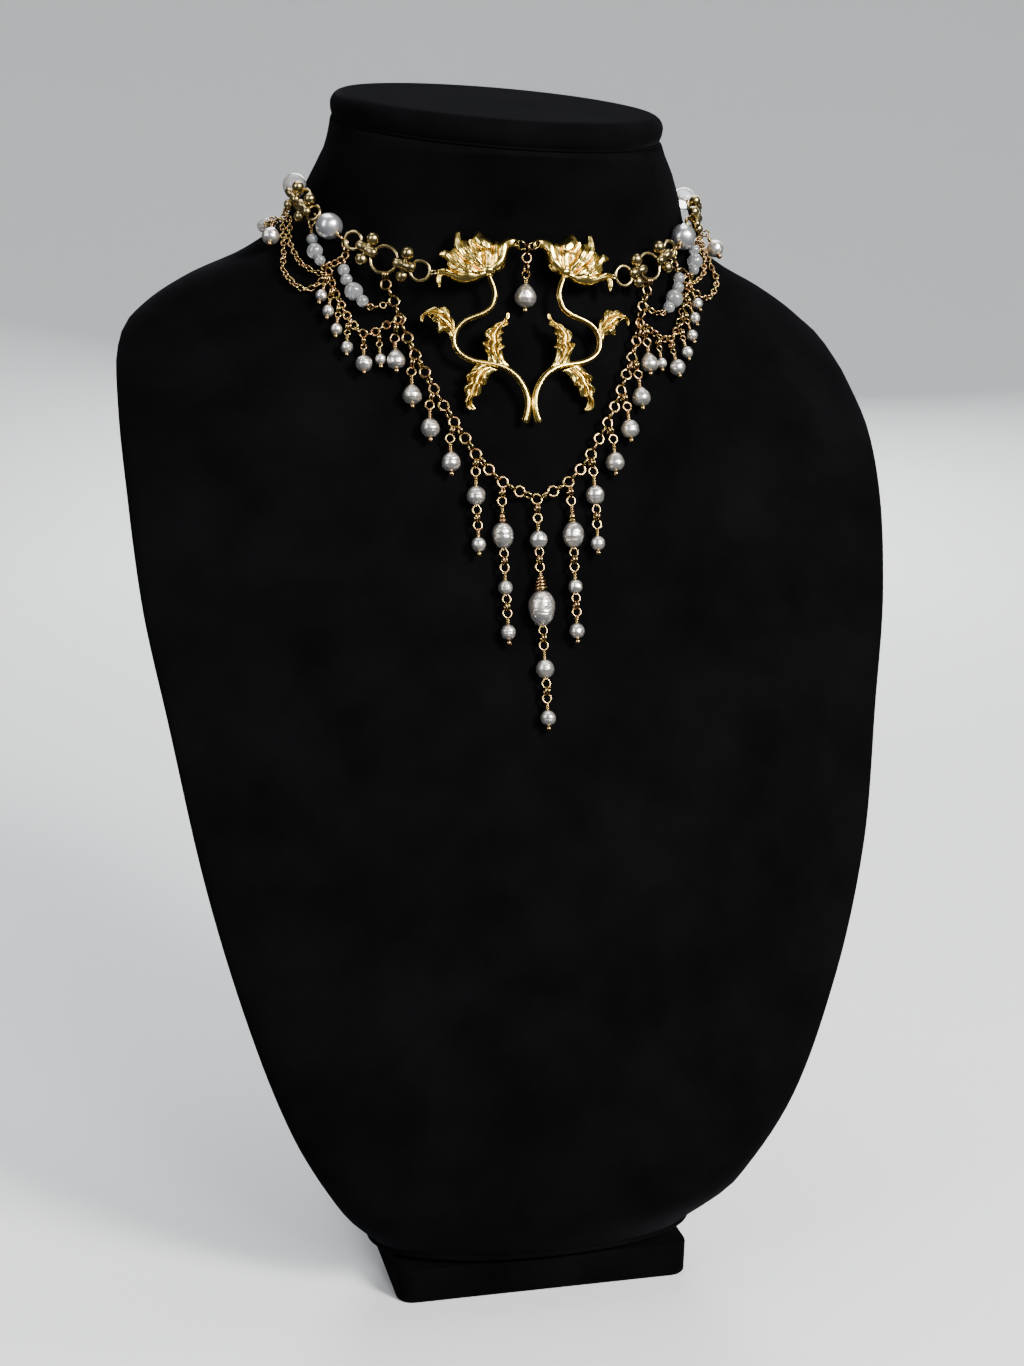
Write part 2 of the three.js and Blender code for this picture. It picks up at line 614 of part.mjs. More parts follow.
// ---- the middle ---------------------------------------------------------------------------------
function centreLinks() {
  const { middleY, heights, length, tieHalfWidth } = CENTRE_LINKS;
  const top = heights[0] + length / 2;
  const bottom = heights[heights.length - 1] - length / 2;
  const links = heights.map((z) => [top - z, LOOP.outer / 2, length / 2]);
  const tie = [-tieHalfWidth, tieHalfWidth].map((x) => new THREE.Vector3(x, middleY - 0.3, heights[0]));
  return join([
    beaded([new THREE.Vector3(0, middleY, top), new THREE.Vector3(0, middleY, bottom)], links, 6),
    tube(tie, PIN, 1, 5),
  ]);
}

function centrePearl() {
  const { middle, half, loopHeight } = CENTRE_PEARL;
  const [x, y, z] = middle;
  const top = loopHeight + LOOP.length / 2;
  const bottom = z - half[1] - TIP;
  return beaded([new THREE.Vector3(x, y, top), new THREE.Vector3(x, y, bottom)], [
    [LOOP.length / 2, LOOP.outer / 2, LOOP.length / 2],
    [top - z, ...half],
    [top - bottom - TIP / 2, TIP / 2, TIP / 2],
  ], 10);
}

// ---- materials and scene ------------------------------------------------------------------------
function material(name, color, metalness, roughness) {
  const made = new THREE.MeshStandardMaterial({ color, metalness, roughness });
  made.name = name;
  return made;
}
const velvet = material("black_velvet", 0x0a0a0c, 0, 0.95);
const brass = material("gilt_brass", 0xc9a14a, 1, 0.3);
const oldBrass = material("antique_brass", 0x8f7a4a, 1, 0.4);
const glassPearl = material("glass_pearl", 0xe8ecf2, 0, 0.25);
const freshPearl = material("freshwater_pearl", 0xe9e4da, 0, 0.35);

const choker = new THREE.Group();
function add(name, geometry, finish) {
  const mesh = new THREE.Mesh(geometry, finish);
  mesh.name = name;
  choker.add(mesh);
}

add("bust_body", bustBody(), velvet);
add("bust_neck_cap", neckCap(), velvet);
add("bust_foot", footBlock(), velvet);
add("centre_links", centreLinks(), brass);
add("centre_pearl", centrePearl(), freshPearl);
add("drop_centre", longDrop(LONG_DROPS.drop_centre, 1), freshPearl);

function band(label, side) {
  const centres = {};
  for (const [name, [place, height, outer]] of Object.entries(BAND_RINGS)) {
    centres[name] = seat(mirror(place, side), height);
    add(`${name}_${label}`, ring(centres[name], outward(centres[name]), outer, WIRE, 14, 4), oldBrass);
  }
  for (const [name, [place, height, from, to]] of Object.entries(BAND_BARS)) {
    const middle = seat(mirror(place, side), height);
    add(`${name}_${label}`, barLink(middle, centres[from], centres[to]), oldBrass);
  }
  for (const [name, made] of Object.entries(BAND_PEARLS))
    add(`${name}_${label}`, wiredPearl(made, side), glassPearl);
  add(`band_rear_${label}`, crowdedBand(side), oldBrass);
  add(`back_chain_${label}`, backChain(side), brass);
}

function drapedChains(label, side) {
  add(`main_chain_upper_${label}`, mainChain(0, MAIN_SPLIT, 9, side), brass);
  add(`main_chain_lower_${label}`, mainChain(MAIN_SPLIT + MAIN_GAP, 1, 15, side), brass);
  add(`festoon_${label}`, festoon(side), freshPearl);
  add(`thin_chains_${label}`, join(THIN_ROUTES.map((route) => chain(route, side, THIN_CHAIN, 12))), brass);
  for (const [name, strand] of Object.entries(STRANDS))
    add(`${name}_${label}`, beadStrand(strand, side), glassPearl);
}

function drops(label, side) {
  add(`drop_side_${label}`, sideDrop(side), freshPearl);
  for (const [name, made] of Object.entries(SHORT_DROPS))
    add(`${name}_${label}`, shortDrop(made, side), freshPearl);
  for (const name of ["drop_5", "drop_6"])
    add(`${name}_${label}`, longDrop(LONG_DROPS[name], side), freshPearl);
}

for (const [label, side] of [["right", 1], ["left", -1]]) {
  add(`flower_${label}`, flower(side), brass);
  band(label, side);
  drapedChains(label, side);
  drops(label, side);
}

const claspEnds = [-1, 1].map((s) => new THREE.Vector3((s * CLASP.length) / 2, CLASP.y, CLASP.z));
add("clasp", tube(claspEnds, CLASP.thickness, 1, 8), brass);

export default choker;
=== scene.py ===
"""A choker of gilt flowers, chains and pearls on a velvet neck bust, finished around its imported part.

Tables are in millimetres, on the right half where a thing has a left twin: x to the right, the
front towards -y, z up from the floor. A piece is scaled to metres when it is finished.
"""

import math
import random

import bmesh
import bpy
from mathutils import Matrix, Vector, noise


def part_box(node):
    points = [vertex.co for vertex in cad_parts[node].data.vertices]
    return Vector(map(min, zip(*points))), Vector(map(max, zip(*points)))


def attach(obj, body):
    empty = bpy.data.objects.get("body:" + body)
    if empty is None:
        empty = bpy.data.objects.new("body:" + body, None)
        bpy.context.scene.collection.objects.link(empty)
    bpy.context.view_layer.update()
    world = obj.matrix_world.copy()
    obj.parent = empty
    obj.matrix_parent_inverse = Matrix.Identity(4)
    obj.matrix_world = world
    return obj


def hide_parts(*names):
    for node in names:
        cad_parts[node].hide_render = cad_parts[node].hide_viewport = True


bl_info = {
    "name": "Choker on a neck bust",
    "version": (1, 0, 0),
    "blender": (4, 5, 0),
    "location": "View3D > Sidebar > Choker",
    "description": "Builds a flower and pearl choker on its velvet bust, and its studio",
    "category": "Object",
}

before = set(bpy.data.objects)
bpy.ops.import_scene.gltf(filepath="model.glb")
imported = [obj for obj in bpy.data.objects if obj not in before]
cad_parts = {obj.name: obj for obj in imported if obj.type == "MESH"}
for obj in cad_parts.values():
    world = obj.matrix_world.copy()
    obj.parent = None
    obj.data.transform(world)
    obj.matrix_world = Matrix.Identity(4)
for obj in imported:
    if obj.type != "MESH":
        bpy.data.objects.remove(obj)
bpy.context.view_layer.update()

MM = 0.001
SIDES = {"right": 1, "left": -1}
FORWARD = Vector((0, -1, 0))
UP = Vector((0, 0, 1))

# ---- the bust -----------------------------------------------------------------------------------
# height, half width, front, widest, back, squareness
BUST_SECTIONS = [
    (11, 48.5, -50, -27.5, -5, 2.2),
    (30, 62.2, -58.5, -44, -13, 2.2),
    (55, 76.2, -59, -47.5, -14, 2.2),
    (90, 89.2, -53.5, -44, -9, 2.2),
    (130, 100.2, -43.5, -35, 0, 2.2),
    (170, 108, -28.5, -20, 13, 2.1),
    (205, 114.5, -16, -6, 29, 2),
    (232, 117, -7.8, 6.5, 48, 1.9),
    (252, 118, -0.5, 22, 69, 1.8),
    (266, 117.5, 4.8, 40, 87, 1.72),
    (277, 114.5, 8.8, 54, 99, 1.68),
    (286, 105.8, 11.5, 60.5, 106, 1.66),
    (294, 93.3, 13.2, 61.5, 108, 1.68),
    (302, 76.6, 13.6, 59.5, 106, 1.75),
    (312, 64, 12.2, 56.5, 101, 1.95),
    (322, 58.8, 7.2, 51.5, 96, 2),
    (336, 53, 1.8, 49, 94.5, 2),
    (352, 50.6, 6, 50, 96, 2),
]
BUST_BOTTOM = 11.0
BUST_AROUND = 112
BUST_STEP = 4.0  # height between its rows of faces, halved outside the even heights
EVEN_HEIGHTS = (20, 280)
ROLL_UNDER = {"towards": (0, -28, BUST_BOTTOM), "share": 0.06, "height": 1.2}
NECK_LEVEL = 330.0  # above this height the rows lean, until the last one lies along the cap
NECK_REACH = 14.0
SEAM_RISE = 1.6
SEAM_SWELL = 0.3
CAP = {
    "half_width": 51.8,
    "half_depth": 46.0,
    "thickness": 8.0,
    "gap": 0.4,
    "edge": 3.8,
    "tilt": math.radians(10),
    "lean": math.radians(0.9),
    "middle": (0.0, 48.2, 348.0),
}
# inset from the cap's edge and height over its underside, from the neck outwards
CAP_UNDERSIDE = ((4, 0), (1.9, 0), (1.1, 0.5), (0.6, 1.2), (0.15, 2.6))
# inset from the cap's edge and height over its top, from the edge to the middle
CAP_TOP = ((6, 0.02), (14, -0.1), (26, -0.15), (40, -0.15))
WELT = {"inset": 1.0, "rise": 0.3, "radius": 0.5}
FOOT_CORNER = 5.0
FOOT_EDGE = 0.9

# ---- the band -----------------------------------------------------------------------------------
WIRE = 1.1
SEPAL_TIP = (27.2, 16.9, 1.1)  # where a flower's long sepal ends, on the stamping's plane
SEPAL_RING = (2.6, 0.6)  # outer diameter, wire
# place, height over the bust, outer diameter
BAND_RINGS = {
    "ring_front": ((31.2, 13.1, 297.2), 5.6, 6.9),
    "ring_large": ((41, 18.1, 300.1), 4.1, 9.2),
    "ring_rear": ((49, 24.3, 305.3), 3.3, 6.2),
}
# place, height over the bust, the rings at its ends, and the place of its upper and lower balls
BAND_BARS = {
    "bar_front": ((35.5, 14.7, 298.5), 6.6, ("ring_front", "ring_large"),
                  ((34.3, 12.7, 301.7), (36.2, 14.6, 294.8))),
    "bar_rear": ((45.3, 20.9, 302.8), 5.6, ("ring_large", "ring_rear"),
                 ((44.6, 20.1, 305.9), (47, 20.4, 299.4))),
}
BAR_LENGTH = 7.2
BAR_THICKNESS = 2.9
BALL_RADIUS = 1.9
BALL_SPREAD = 3.45
# place, radius and the direction of the wire through it
BIG_PEARL = {"place": (55.5, 29.5, 309.2), "radius": 4.0, "wire": (3.4, 4.6, 3.6)}
REAR_PEARL = {"place": (62.6, 50.9, 320.9), "radius": 3.7, "wire": (-0.3, 3, 0.6)}
BEAD_EYE = (2.4, 0.68)  # outer diameter, wire
BEAD_WRAP = (0.6, 0.6, 2.5, 1.2)  # radius, wire, turns, length
# the same rings and bars behind the big pearl, where they crowd together
CROWDED = {
    "height": 3.6,
    "bar_rise": 1.6,
    "scale": 0.92,
    "rings": (((59.4, 34.4, 312.9), 5.6), ((62, 39.6, 316.8), 7.4)),
    "bars": (((60.9, 36.8, 314.2), (60.2, 33.8, 316.6), (63.6, 37.6, 310.8)),
             ((63.4, 43, 317.5), (62.6, 40.8, 320.2), (65.4, 45, 314))),
}

# ---- the chains ---------------------------------------------------------------------------------
# the links of the main chain that lie flat, from the large ring to the middle
MAIN_LINKS = [
    (40.4, 17.5, 293), (38.4, 15, 288.2), (37, 12.6, 283.2), (35.2, 10, 278), (33.3, 7.6, 273.3),
    (30.9, 4.9, 268.4), (28.6, 2.5, 263.8), (26.1, 0.3, 259.1), (23.4, -1.9, 254.5),
    (20.4, -3.7, 250), (17.5, -5.5, 245.6), (13.9, -7.3, 241.3), (10, -8.7, 237.8),
    (5.1, -9.7, 235.2), (0, -10.4, 233),
]
MAIN_UPPER_COUNT = 5  # flat links that belong to the upper piece of the main chain
# outer diameter, wire
MAIN_LINK = (3.85, 0.84)
FESTOON_LINK = (3.0, 0.66)
THIN_LINK = (2.5, 0.56)
BACK_LINK = (3.1, 0.62)
FESTOON_PITCH = 1.9
THIN_PITCH = 1.75
HANGING_RINGS = {"place": (40.7, 17.2, 295.7), "shifts": (-0.7, 0, 0.7), "size": (2.7, 0.6)}
FESTOON_ROUTE = [
    (51.3, 25.7, 304.4), (51.1, 24.9, 301.4), (52.6, 24.9, 299.6), (54.3, 25.3, 298.6),
    (56.2, 25.8, 297.4), (55.5, 25.2, 294.4), (54.8, 23.4, 291.2), (53.6, 21.2, 288),
    (52.2, 18.8, 284.6), (50.6, 16.8, 281.8), (48.8, 15, 279.6), (47, 14.2, 278.6),
    (45, 13.9, 278.9), (42.8, 13.9, 280), (40.3, 13.9, 281.6), (37.6, 13, 283),
]
THIN_ROUTES = [
    [(66.2, 47.2, 313), (66.8, 46, 309.1), (67.4, 39.8, 303.3), (67.9, 36.2, 299.8),
     (68.6, 33.4, 296.6), (67.2, 30.2, 293.7), (64.6, 27.3, 291.2), (61.6, 25.9, 290.9),
     (59.3, 25.7, 292.5), (57, 25.4, 294.4)],
    [(65.4, 46, 312.4), (65, 43.9, 309.2), (65.8, 40.3, 305.4), (65.1, 36.3, 301.9),
     (63.7, 31.9, 298.5), (61.7, 29.4, 296.9), (59.6, 27.4, 295.7), (57.4, 26, 295.4)],
]
# each bead's place and radius, from the top
STRANDS = {
    "strand_front": [((52.1, 22.6, 296.6), 1.8), ((51.5, 21.2, 293.9), 1.8),
                     ((49.9, 18.4, 290.9), 2.7), ((47.6, 16.6, 288.2), 1.8)],
    "strand_rear": [((60.4, 31.4, 305.4), 1.65), ((60, 29, 302.1), 2.4), ((58.4, 27.2, 299.1), 1.6)],
}
STRAND_HEIGHT = 3.4
# outer diameter, wire
STRAND_EYE = (2.2, 0.5)
STRAND_RING = (2.9, 0.55)
STRAND_LINK = (2.3, 0.52)
STRAND_WRAP = (0.5, 0.42, 2, 0.9)  # radius, wire, turns, length
# radii
STRAND_WIRE = 0.25
STRAND_BALL = 0.62
STRAND_ENDS = {
    # the eye above the beads, the rings above the eye, and the links that lead off below the beads
    "strand_front": ((51.8, 23.4, 299.2), [], [(45.3, 15.9, 286.4), (43.6, 15.6, 286.4), (41.6, 15.6, 287),
                                               (40, 15.6, 287.8)]),
    "strand_rear": ((60.2, 33, 308.6), [(60, 33.3, 310.2)], [(57.4, 26.2, 297.4)]),
}
# place on the festoon, bead, bead radius
FESTOON_DROPS = [
    ((56.6, 25.4, 294.4), (58.4, 23.6, 288.7), 1.75),
    ((55.3, 23.6, 291), (56.8, 20.8, 284.3), 1.75),
    ((53.6, 20.8, 286.8), (54.9, 17.4, 279.1), 1.75),
    ((51.6, 17.6, 281.8), (52.3, 14.3, 273.9), 1.8),
    ((47.5, 14.2, 278.2), (48, 10.3, 269.5), 2.45),
    ((43.2, 13.5, 279.4), (43.2, 9.9, 271.3), 1.65),
]
SIDE_DROP = {"hook": (69.4, 48.8, 311.2), "pearl": (71, 42.6, 305.8), "radius": 2.7}
# the places of the rings, the eye and the pearl, the pearl's half width and half height, and its taper
SHORT_DROPS = {
    "drop_1": ([(38.2, 12, 280.6), (38.9, 10.6, 277.8), (39, 8, 272.1)], (2.65, 3.05), 0.34),
    "drop_2": ([(34.2, 6.9, 271), (34.8, 5.4, 268.5), (35.1, 2.6, 262.2)], (2.75, 2.95), 0.24),
    "drop_3": ([(29.4, 2, 261.6), (30.2, 0.7, 259.3), (30.5, -2, 252.9)], (2.8, 2.85), 0.06),
    "drop_4": ([(24.1, -2.5, 252.3), (24.9, -3.6, 250), (25, -6, 243.6)], (2.8, 2.95), 0.16),
}
# each part from the top with its place, and each pearl's half width, half height and taper
LONG_DROPS = {
    "drop_5": [
        ("rings", (17.7, -6.5, 243.2)), ("eye", (17.9, -7.4, 240.8)), ("wrap", (18, -8.1, 238.6)),
        ("pearl", (18.1, -9.6, 234.1), 2.8, 2.9, 0.05), ("eye_below", (18.2, -11, 229.9)),
        ("rings", (18.2, -11.6, 228)), ("eye", (18.1, -12.5, 225.8)), ("wrap", (18.1, -13.2, 223.9)),
        ("pearl", (18.1, -14.2, 220.4), 2.15, 2.2, 0.0), ("tip", (18.1, -15.2, 217.7)),
    ],
    "drop_6": [
        ("rings", (10.3, -9.6, 235)), ("eye", (10.5, -10.4, 232.5)), ("wrap", (10.6, -11.2, 230.3)),
        ("bead", (10.6, -11.8, 228)), ("pearl", (10.7, -13.3, 222.8), 3.2, 3.95, -0.03),
        ("eye_below", (10.6, -14.8, 217.7)), ("rings", (10.6, -15.4, 215.8)),
        ("eye", (10.6, -16, 213.8)), ("wrap", (10.6, -16.6, 211.9)),
        ("pearl", (10.6, -17.8, 208.2), 2.15, 2.15, 0.0), ("eye_below", (10.5, -19, 204.9)),
        ("rings", (10.5, -19.6, 203)), ("eye", (10.5, -20.3, 201.1)), ("wrap", (10.4, -20.9, 199.2)),
        ("pearl", (10.4, -21.8, 195.8), 2.25, 2.3, 0.04), ("tip", (10.4, -22.9, 192.8)),
    ],
    "drop_centre": [
        ("rings", (0, -11.2, 230.4)), ("eye", (0, -12.1, 227.7)), ("wrap", (0, -12.8, 225.4)),
        ("pearl", (0, -13.9, 221.6), 2.65, 2.65, 0.0), ("eye_below", (0, -15, 218)),
        ("rings", (0, -15.6, 216)), ("eye", (0, -16.3, 213.9)), ("cone", (0, -17.6, 209.6)),
        ("pearl", (0, -19.8, 202.3), 3.95, 5.3, -0.07), ("eye_below", (0, -21.8, 196)),
        ("rings", (0, -22.6, 194)), ("eye", (0, -23.2, 191.9)), ("wrap", (0, -24, 189.9)),
        ("pearl", (0, -25.5, 185.4), 2.75, 2.8, 0.0), ("eye_below", (0, -27.1, 181.3)),
        ("rings", (0, -27.8, 179.3)), ("eye", (0, -28.5, 177.3)), ("wrap", (0, -29.2, 175.3)),
        ("pearl", (0, -30.5, 171.9), 2.25, 2.3, 0.03), ("tip", (0, -31.6, 169)),
    ],
}
PIN_RISE = 3.2  # the most that a head pin's eye stands over its bead
PIN_EYE = (2.2, 0.5)  # outer size, wire
PIN_WRAP = (0.46, 0.4)  # radius, wire
PIN_WIRE = 0.26  # radius
# outer size and wire of the fittings on a drop
DROP_RING = (3.1, 0.7)
DROP_EYE = (3.2, 0.66)
DROP_EYE_BELOW = (3.1, 0.62)
BEAD_RING = (2.9, 0.65)
DROP_WRAP = (0.52, 0.5)  # radius, wire
# radii
DROP_PIN = 0.28
DROP_BEAD = 1.15
DROP_TIP = 0.85
# the wire cone and the neck over it: radius, wire, turns and length of each coil, the end radius of
# the cone and its points in a turn, and how far they stand over the drop's place for the cone
CONE = {
    "coil": (1.85, 0.98, 4, 3.9, 0.75, 16),
    "rise": -0.35,
    "neck": (0.55, 0.5, 3, 1.7),
    "neck_rise": 2.45,
}
RING_SPREAD = 0.42  # half the distance between a drop's two rings
PIN_GAP = 0.75  # from a pearl to the middle of its tip or its wrap
STEADY_PEARL = 2.6  # a pearl with more half height than this has more grooves
# routes, places and, for the wrap beside each bead, radius, wire, turns and length
BACK = {
    "upper": [(62.2, 56, 321.4), (60.4, 64, 321.9), (56, 73, 322.4), (47, 84, 323), (31, 93.5, 323.6),
              (5.5, 98.5, 324)],
    "lower": [(68.6, 50, 312), (69.8, 53, 311), (71.4, 60, 309.4), (69, 71, 310.6), (61, 84, 313.4),
              (46, 95, 317), (28, 101, 320.4), (5.5, 99, 324)],
    "beads": [(71.3, 57.6, 309.9), (71.5, 61.6, 309.5)],
    "bead_radius": 1.9,
    "height": 2.2,
    "pitch": 2.15,
    "wrap": (0.75, 0.5, 3, 1.3),
}
CLASP = {"y": 99.8, "z": 324.0, "length": 9.0, "radius": 2.2, "eye": (2.4, 0.55)}
# outer size and wire of the rings and the eye, half width, half height and taper of the pearl,
# radius, wire, turns and length of the wrap, and heights over the pearl's middle
CENTRE = {
    "y": 9.3,
    "rings": (304.6, 301.8, 299),
    "ring": (3.5, 0.7),
    "hook_ring": (3.6, 0.62),
    "eye": 297.0,
    "eye_size": (2.8, 0.6),
    "pearl": (0, 9.3, 290.9),
    "pearl_size": (3.15, 3.5, 0.22),
    "wrap": (0.62, 0.5, 2.5, 1.2),
    "wrap_rise": 4.1,
    "pin": (-4.2, 4.8),
    "pin_radius": 0.3,
    "tip_rise": -4.3,
    "tip": 0.92,
}

# ---- the flower stamping ------------------------------------------------------------------------
# Places are (outwards from the middle, upwards) on the stamping's own leaning plane.
PLANE_PLACE = Vector((0, 3.7, 280))
PLANE_OUTWARD_SLOPE = 0.11
PLANE_BACKWARD_SLOPE = 0.253
PLANE_ACROSS = Vector((1, PLANE_OUTWARD_SLOPE, 0)).normalized()
PLANE_FACING = Vector((PLANE_OUTWARD_SLOPE, -1, PLANE_BACKWARD_SLOPE)).normalized()
PLANE_RISING = PLANE_FACING.cross(PLANE_ACROSS)
STEM_LINE = [
    (12.1, 17.2), (10.9, 14.6), (10.1, 11.6), (10.8, 8.4), (12.1, 6.8), (14.4, 5.4), (17.2, 4.3),
    (19.4, 3.1), (21.1, 1.4), (22.2, -1), (22.3, -3), (21.6, -5), (20.1, -6.6), (17.6, -8), (14.4, -8.8),
    (11, -9.2), (7.9, -10), (5.2, -11.5), (3, -13.7), (1.5, -16.3), (0.6, -19), (0.45, -21.4),
    (0.8, -23.8), (1.5, -26.1),
]
# edge towards the middle, edge away from it, height at base, middle and tip, depth of the groove
# along its middle, and its kind: 0 plain, 1 creased, 2 a leaf
LEAF = 2
BLADES = {
    "back_panel": ([(12.6, 20), (13.2, 22.5), (13.8, 24.5), (15.2, 26.2), (16.6, 27.5)],
                   [(15.4, 20), (17.4, 22.5), (19, 24.5), (19, 26.4), (17.8, 27.4)],
                   (0.9, 0.9, 0.8), 0.15, 0),
    "cup": ([(8, 21.2), (9.8, 20), (12.4, 19.6), (15.6, 19), (18.6, 18.3), (21.6, 18), (24.4, 18.2),
             (27, 17.9)],
            [(6.9, 20), (8.6, 18.2), (10.6, 17.3), (13, 16.4), (15.5, 15.1), (18.5, 14.2), (21.5, 14.7),
             (24.6, 16.1), (27.6, 16.8)], (1.3, 2.3, 0.9), 0, 0),
    "sepal_ridge": ([(16.4, 17.1), (19.5, 16.9), (22.4, 17.5), (24.9, 18.5), (27, 18.3)],
                    [(16.6, 16.2), (19.8, 16), (22.8, 16.5), (25.2, 17.3), (27.3, 17.4)],
                    (2.0, 2.3, 1.4), 0, 0),
    "sepal_curl": ([(25.5, 16.6), (25.7, 15.4), (25.9, 14.2), (26.2, 12.9)],
                   [(27.5, 16.6), (27.8, 15.4), (27.5, 14.1), (26.9, 12.9)], (1.2, 1.5, 1.1), 0.175, 0),
    "tall_petal": ([(13.6, 18.8), (15.8, 20.8), (17.8, 23), (19.6, 25.6), (20.1, 27.6), (20.3, 29.6)],
                   [(15.8, 18.4), (18.8, 20.4), (21.2, 22.4), (22.3, 24.4), (22.4, 26.8), (21.8, 29.4)],
                   (2.2, 2.2, 0.9), 0.15, 1),
    "tall_fold": ([(12.6, 18.8), (13.8, 20.8), (15.4, 22.8), (16.9, 25), (17.8, 26.9)],
                  [(14.6, 18.4), (17, 20), (19, 22.2), (20.4, 25), (20.2, 27)],
                  (2.4, 2.9, 1.1), 0.125, 0),
    "short_petal": ([(17, 19.6), (19.4, 21), (21, 22.8), (22, 25)],
                    [(17.8, 18.6), (21, 19.6), (22.8, 21.4), (23.5, 23.6)], (2.0, 2.3, 0.9), 0.15, 0),
    "outer_petal": ([(17, 18.6), (20, 20.2), (22.2, 21.8), (23.4, 23.5), (25, 24.1), (26.4, 23.5)],
                    [(18, 17.4), (21.2, 18.6), (23.8, 19.8), (24.6, 21), (25.6, 21.6), (26.8, 22.3)],
                    (2.2, 2.3, 0.8), 0.1, 1),
    "narrow_petal": ([(10.6, 18.8), (9.5, 20.6), (9, 23), (8.9, 25.3), (9.1, 26.7)],
                     [(12, 18.8), (11.5, 21), (11.1, 23.5), (11, 25.5), (10.4, 27.1)],
                     (2.4, 2.6, 1.2), 0.04, 0),
    "front_petal": ([(11.2, 18.6), (10.7, 21), (10.6, 23), (10.8, 25.2)],
                    [(13.6, 18.6), (13.7, 21), (13.9, 23), (14, 25)], (2.5, 3.0, 2.0), 0.06, 0),
    "folded_top": ([(10.8, 24.6), (10.8, 26.4), (11.9, 27.5), (13.4, 28.2), (14.5, 29.7)],
                   [(13.8, 24), (15.5, 24.7), (16.8, 26), (16.9, 27.8), (15.4, 29.8)],
                   (3.1, 2.9, 1.0), 0.05, 1),
    "hook_petal": ([(11.6, 17.2), (9.4, 17.7), (7.9, 19), (7, 21), (6.5, 22.8), (6.1, 24.2), (5.3, 25.1),
                    (4.3, 25.4), (3.4, 25.2), (2.8, 24.6)],
                   [(13, 19), (11.5, 20.2), (10.5, 21.5), (9.9, 23.2), (9.5, 25), (8.9, 26.4), (7.6, 27.5),
                    (5.8, 28), (4, 28.1), (2.7, 27)], (2.3, 3.0, 0.7), 0, 0),
    "lower_petal": ([(18, 17.8), (20.6, 18.8), (22.6, 20.3), (23.8, 21)],
                    [(18.8, 16.5), (21.4, 16.8), (23.8, 18), (24.6, 19.6)], (2.4, 2.8, 1.3), 0.15, 0),
    "middle_ruffle": ([(15.8, 17.8), (18.4, 18.8), (20.6, 20.2), (21.8, 20.8)],
                      [(16.6, 16.7), (19.4, 16.9), (21.8, 18.6), (22.6, 20.1)], (2.6, 3.3, 1.8), 0.15, 0),
    "side_ruffle": ([(13, 18.2), (14.2, 19.6), (15.6, 20.5), (17.2, 20.8)],
                    [(13.8, 17.2), (15.4, 18.2), (16.9, 19), (18, 19.9)], (2.5, 2.7, 1.9), 0.1, 0),
    "inner_ruffle": ([(14.4, 17.4), (16, 18.9), (17.4, 19.9), (19, 20.1)],
                     [(15, 16.7), (17.2, 16.7), (19.1, 17.7), (19.7, 19.3)], (2.7, 3.7, 2.3), 0.15, 0),
    "outer_leaf": ([(22, 1.4), (22.4, 3.6), (23.2, 4.8), (23.8, 6.3), (25, 7.3), (26.4, 7.3), (28, 7.4),
                    (29.3, 6.9), (30.3, 6.4), (31.4, 5.5), (32.3, 4.3), (32.1, 2.7)],
                   [(23.3, -2.4), (24.2, -0.5), (25.4, -0.2), (26.9, -0.5), (27.3, 0.6), (27.3, 2),
                    (28.3, 2.8), (29.2, 3.7), (30.2, 4.5), (30.9, 4.3), (31.3, 3.4), (31.6, 2.6)],
                   (1.0, 1.8, 0.7), 0, 2),
    "inner_leaf": ([(5.9, -9.8), (7.2, -8), (7.8, -6.3), (8, -5), (7.3, -3.9), (8.3, -3.1), (8, -2),
                    (8.5, -1), (7.7, 0), (8.1, 1), (7.2, 1.7), (6.2, 2.8), (6.5, 3.8), (5.9, 4.8),
                    (6.1, 6.1)],
                   [(12.4, -8.6), (12.4, -6.8), (13.2, -5.5), (13.7, -4.2), (14.2, -3), (12.8, -2.2),
                    (13.5, -1), (13.1, 0.6), (12, 1.4), (11.2, 1.9), (10.2, 2.8), (8.8, 3.2), (7.6, 4),
                    (7, 5), (6.8, 6.1)], (1.0, 1.9, 0.6), 0, 2),
    "lower_leaf": ([(9.3, -11), (10.8, -11.7), (11.9, -12.7), (12.5, -14), (13, -15.5), (14.1, -15.6),
                    (14.3, -17.1), (15, -18.7), (16.3, -18.7), (17, -19.8), (16.9, -21), (16, -22.4)],
                   [(15.2, -9), (16.5, -10.1), (17.7, -11.3), (19, -12.8), (18.8, -14), (18.5, -14.9),
                    (19.5, -15.8), (19.7, -17.2), (19.1, -18.4), (19.4, -20), (19.2, -21.5), (18.2, -22.6),
                    (16.6, -22.9)], (1.0, 1.9, 0.6), 0, 2),
}
BACKING = [
    (9, 19), (8.4, 21), (9.4, 24), (11.6, 25.8), (14.6, 27.4), (17.4, 26.6), (20.6, 26.8), (22, 24),
    (24.6, 22.2), (23.4, 18.8), (25.6, 17), (20.6, 15), (16.6, 15.4), (13, 17),
]
# the blades with a drilled hole: its place and radius
HOLES = {"hook_petal": (3.9, 26.6, 0.65), "outer_leaf": (28.9, 4.3, 0.5)}
PLATE = 0.4
BACKING_THICKNESS = 0.45
LEAF_MESH = (56, 30)  # rows and columns of faces
PETAL_MESH = (34, 20)
SKIRT = 0.2  # height of a petal's edges
LEAF_SKIRT = 0.55
LOBE_SWEEP = 0.2  # how far a leaf's lobes lean towards its tip, as a share of its length
CREASE = 0.12
CRUMPLE = 0.6
BLOOM_START = 15.0  # how far up the stamping the bloom begins
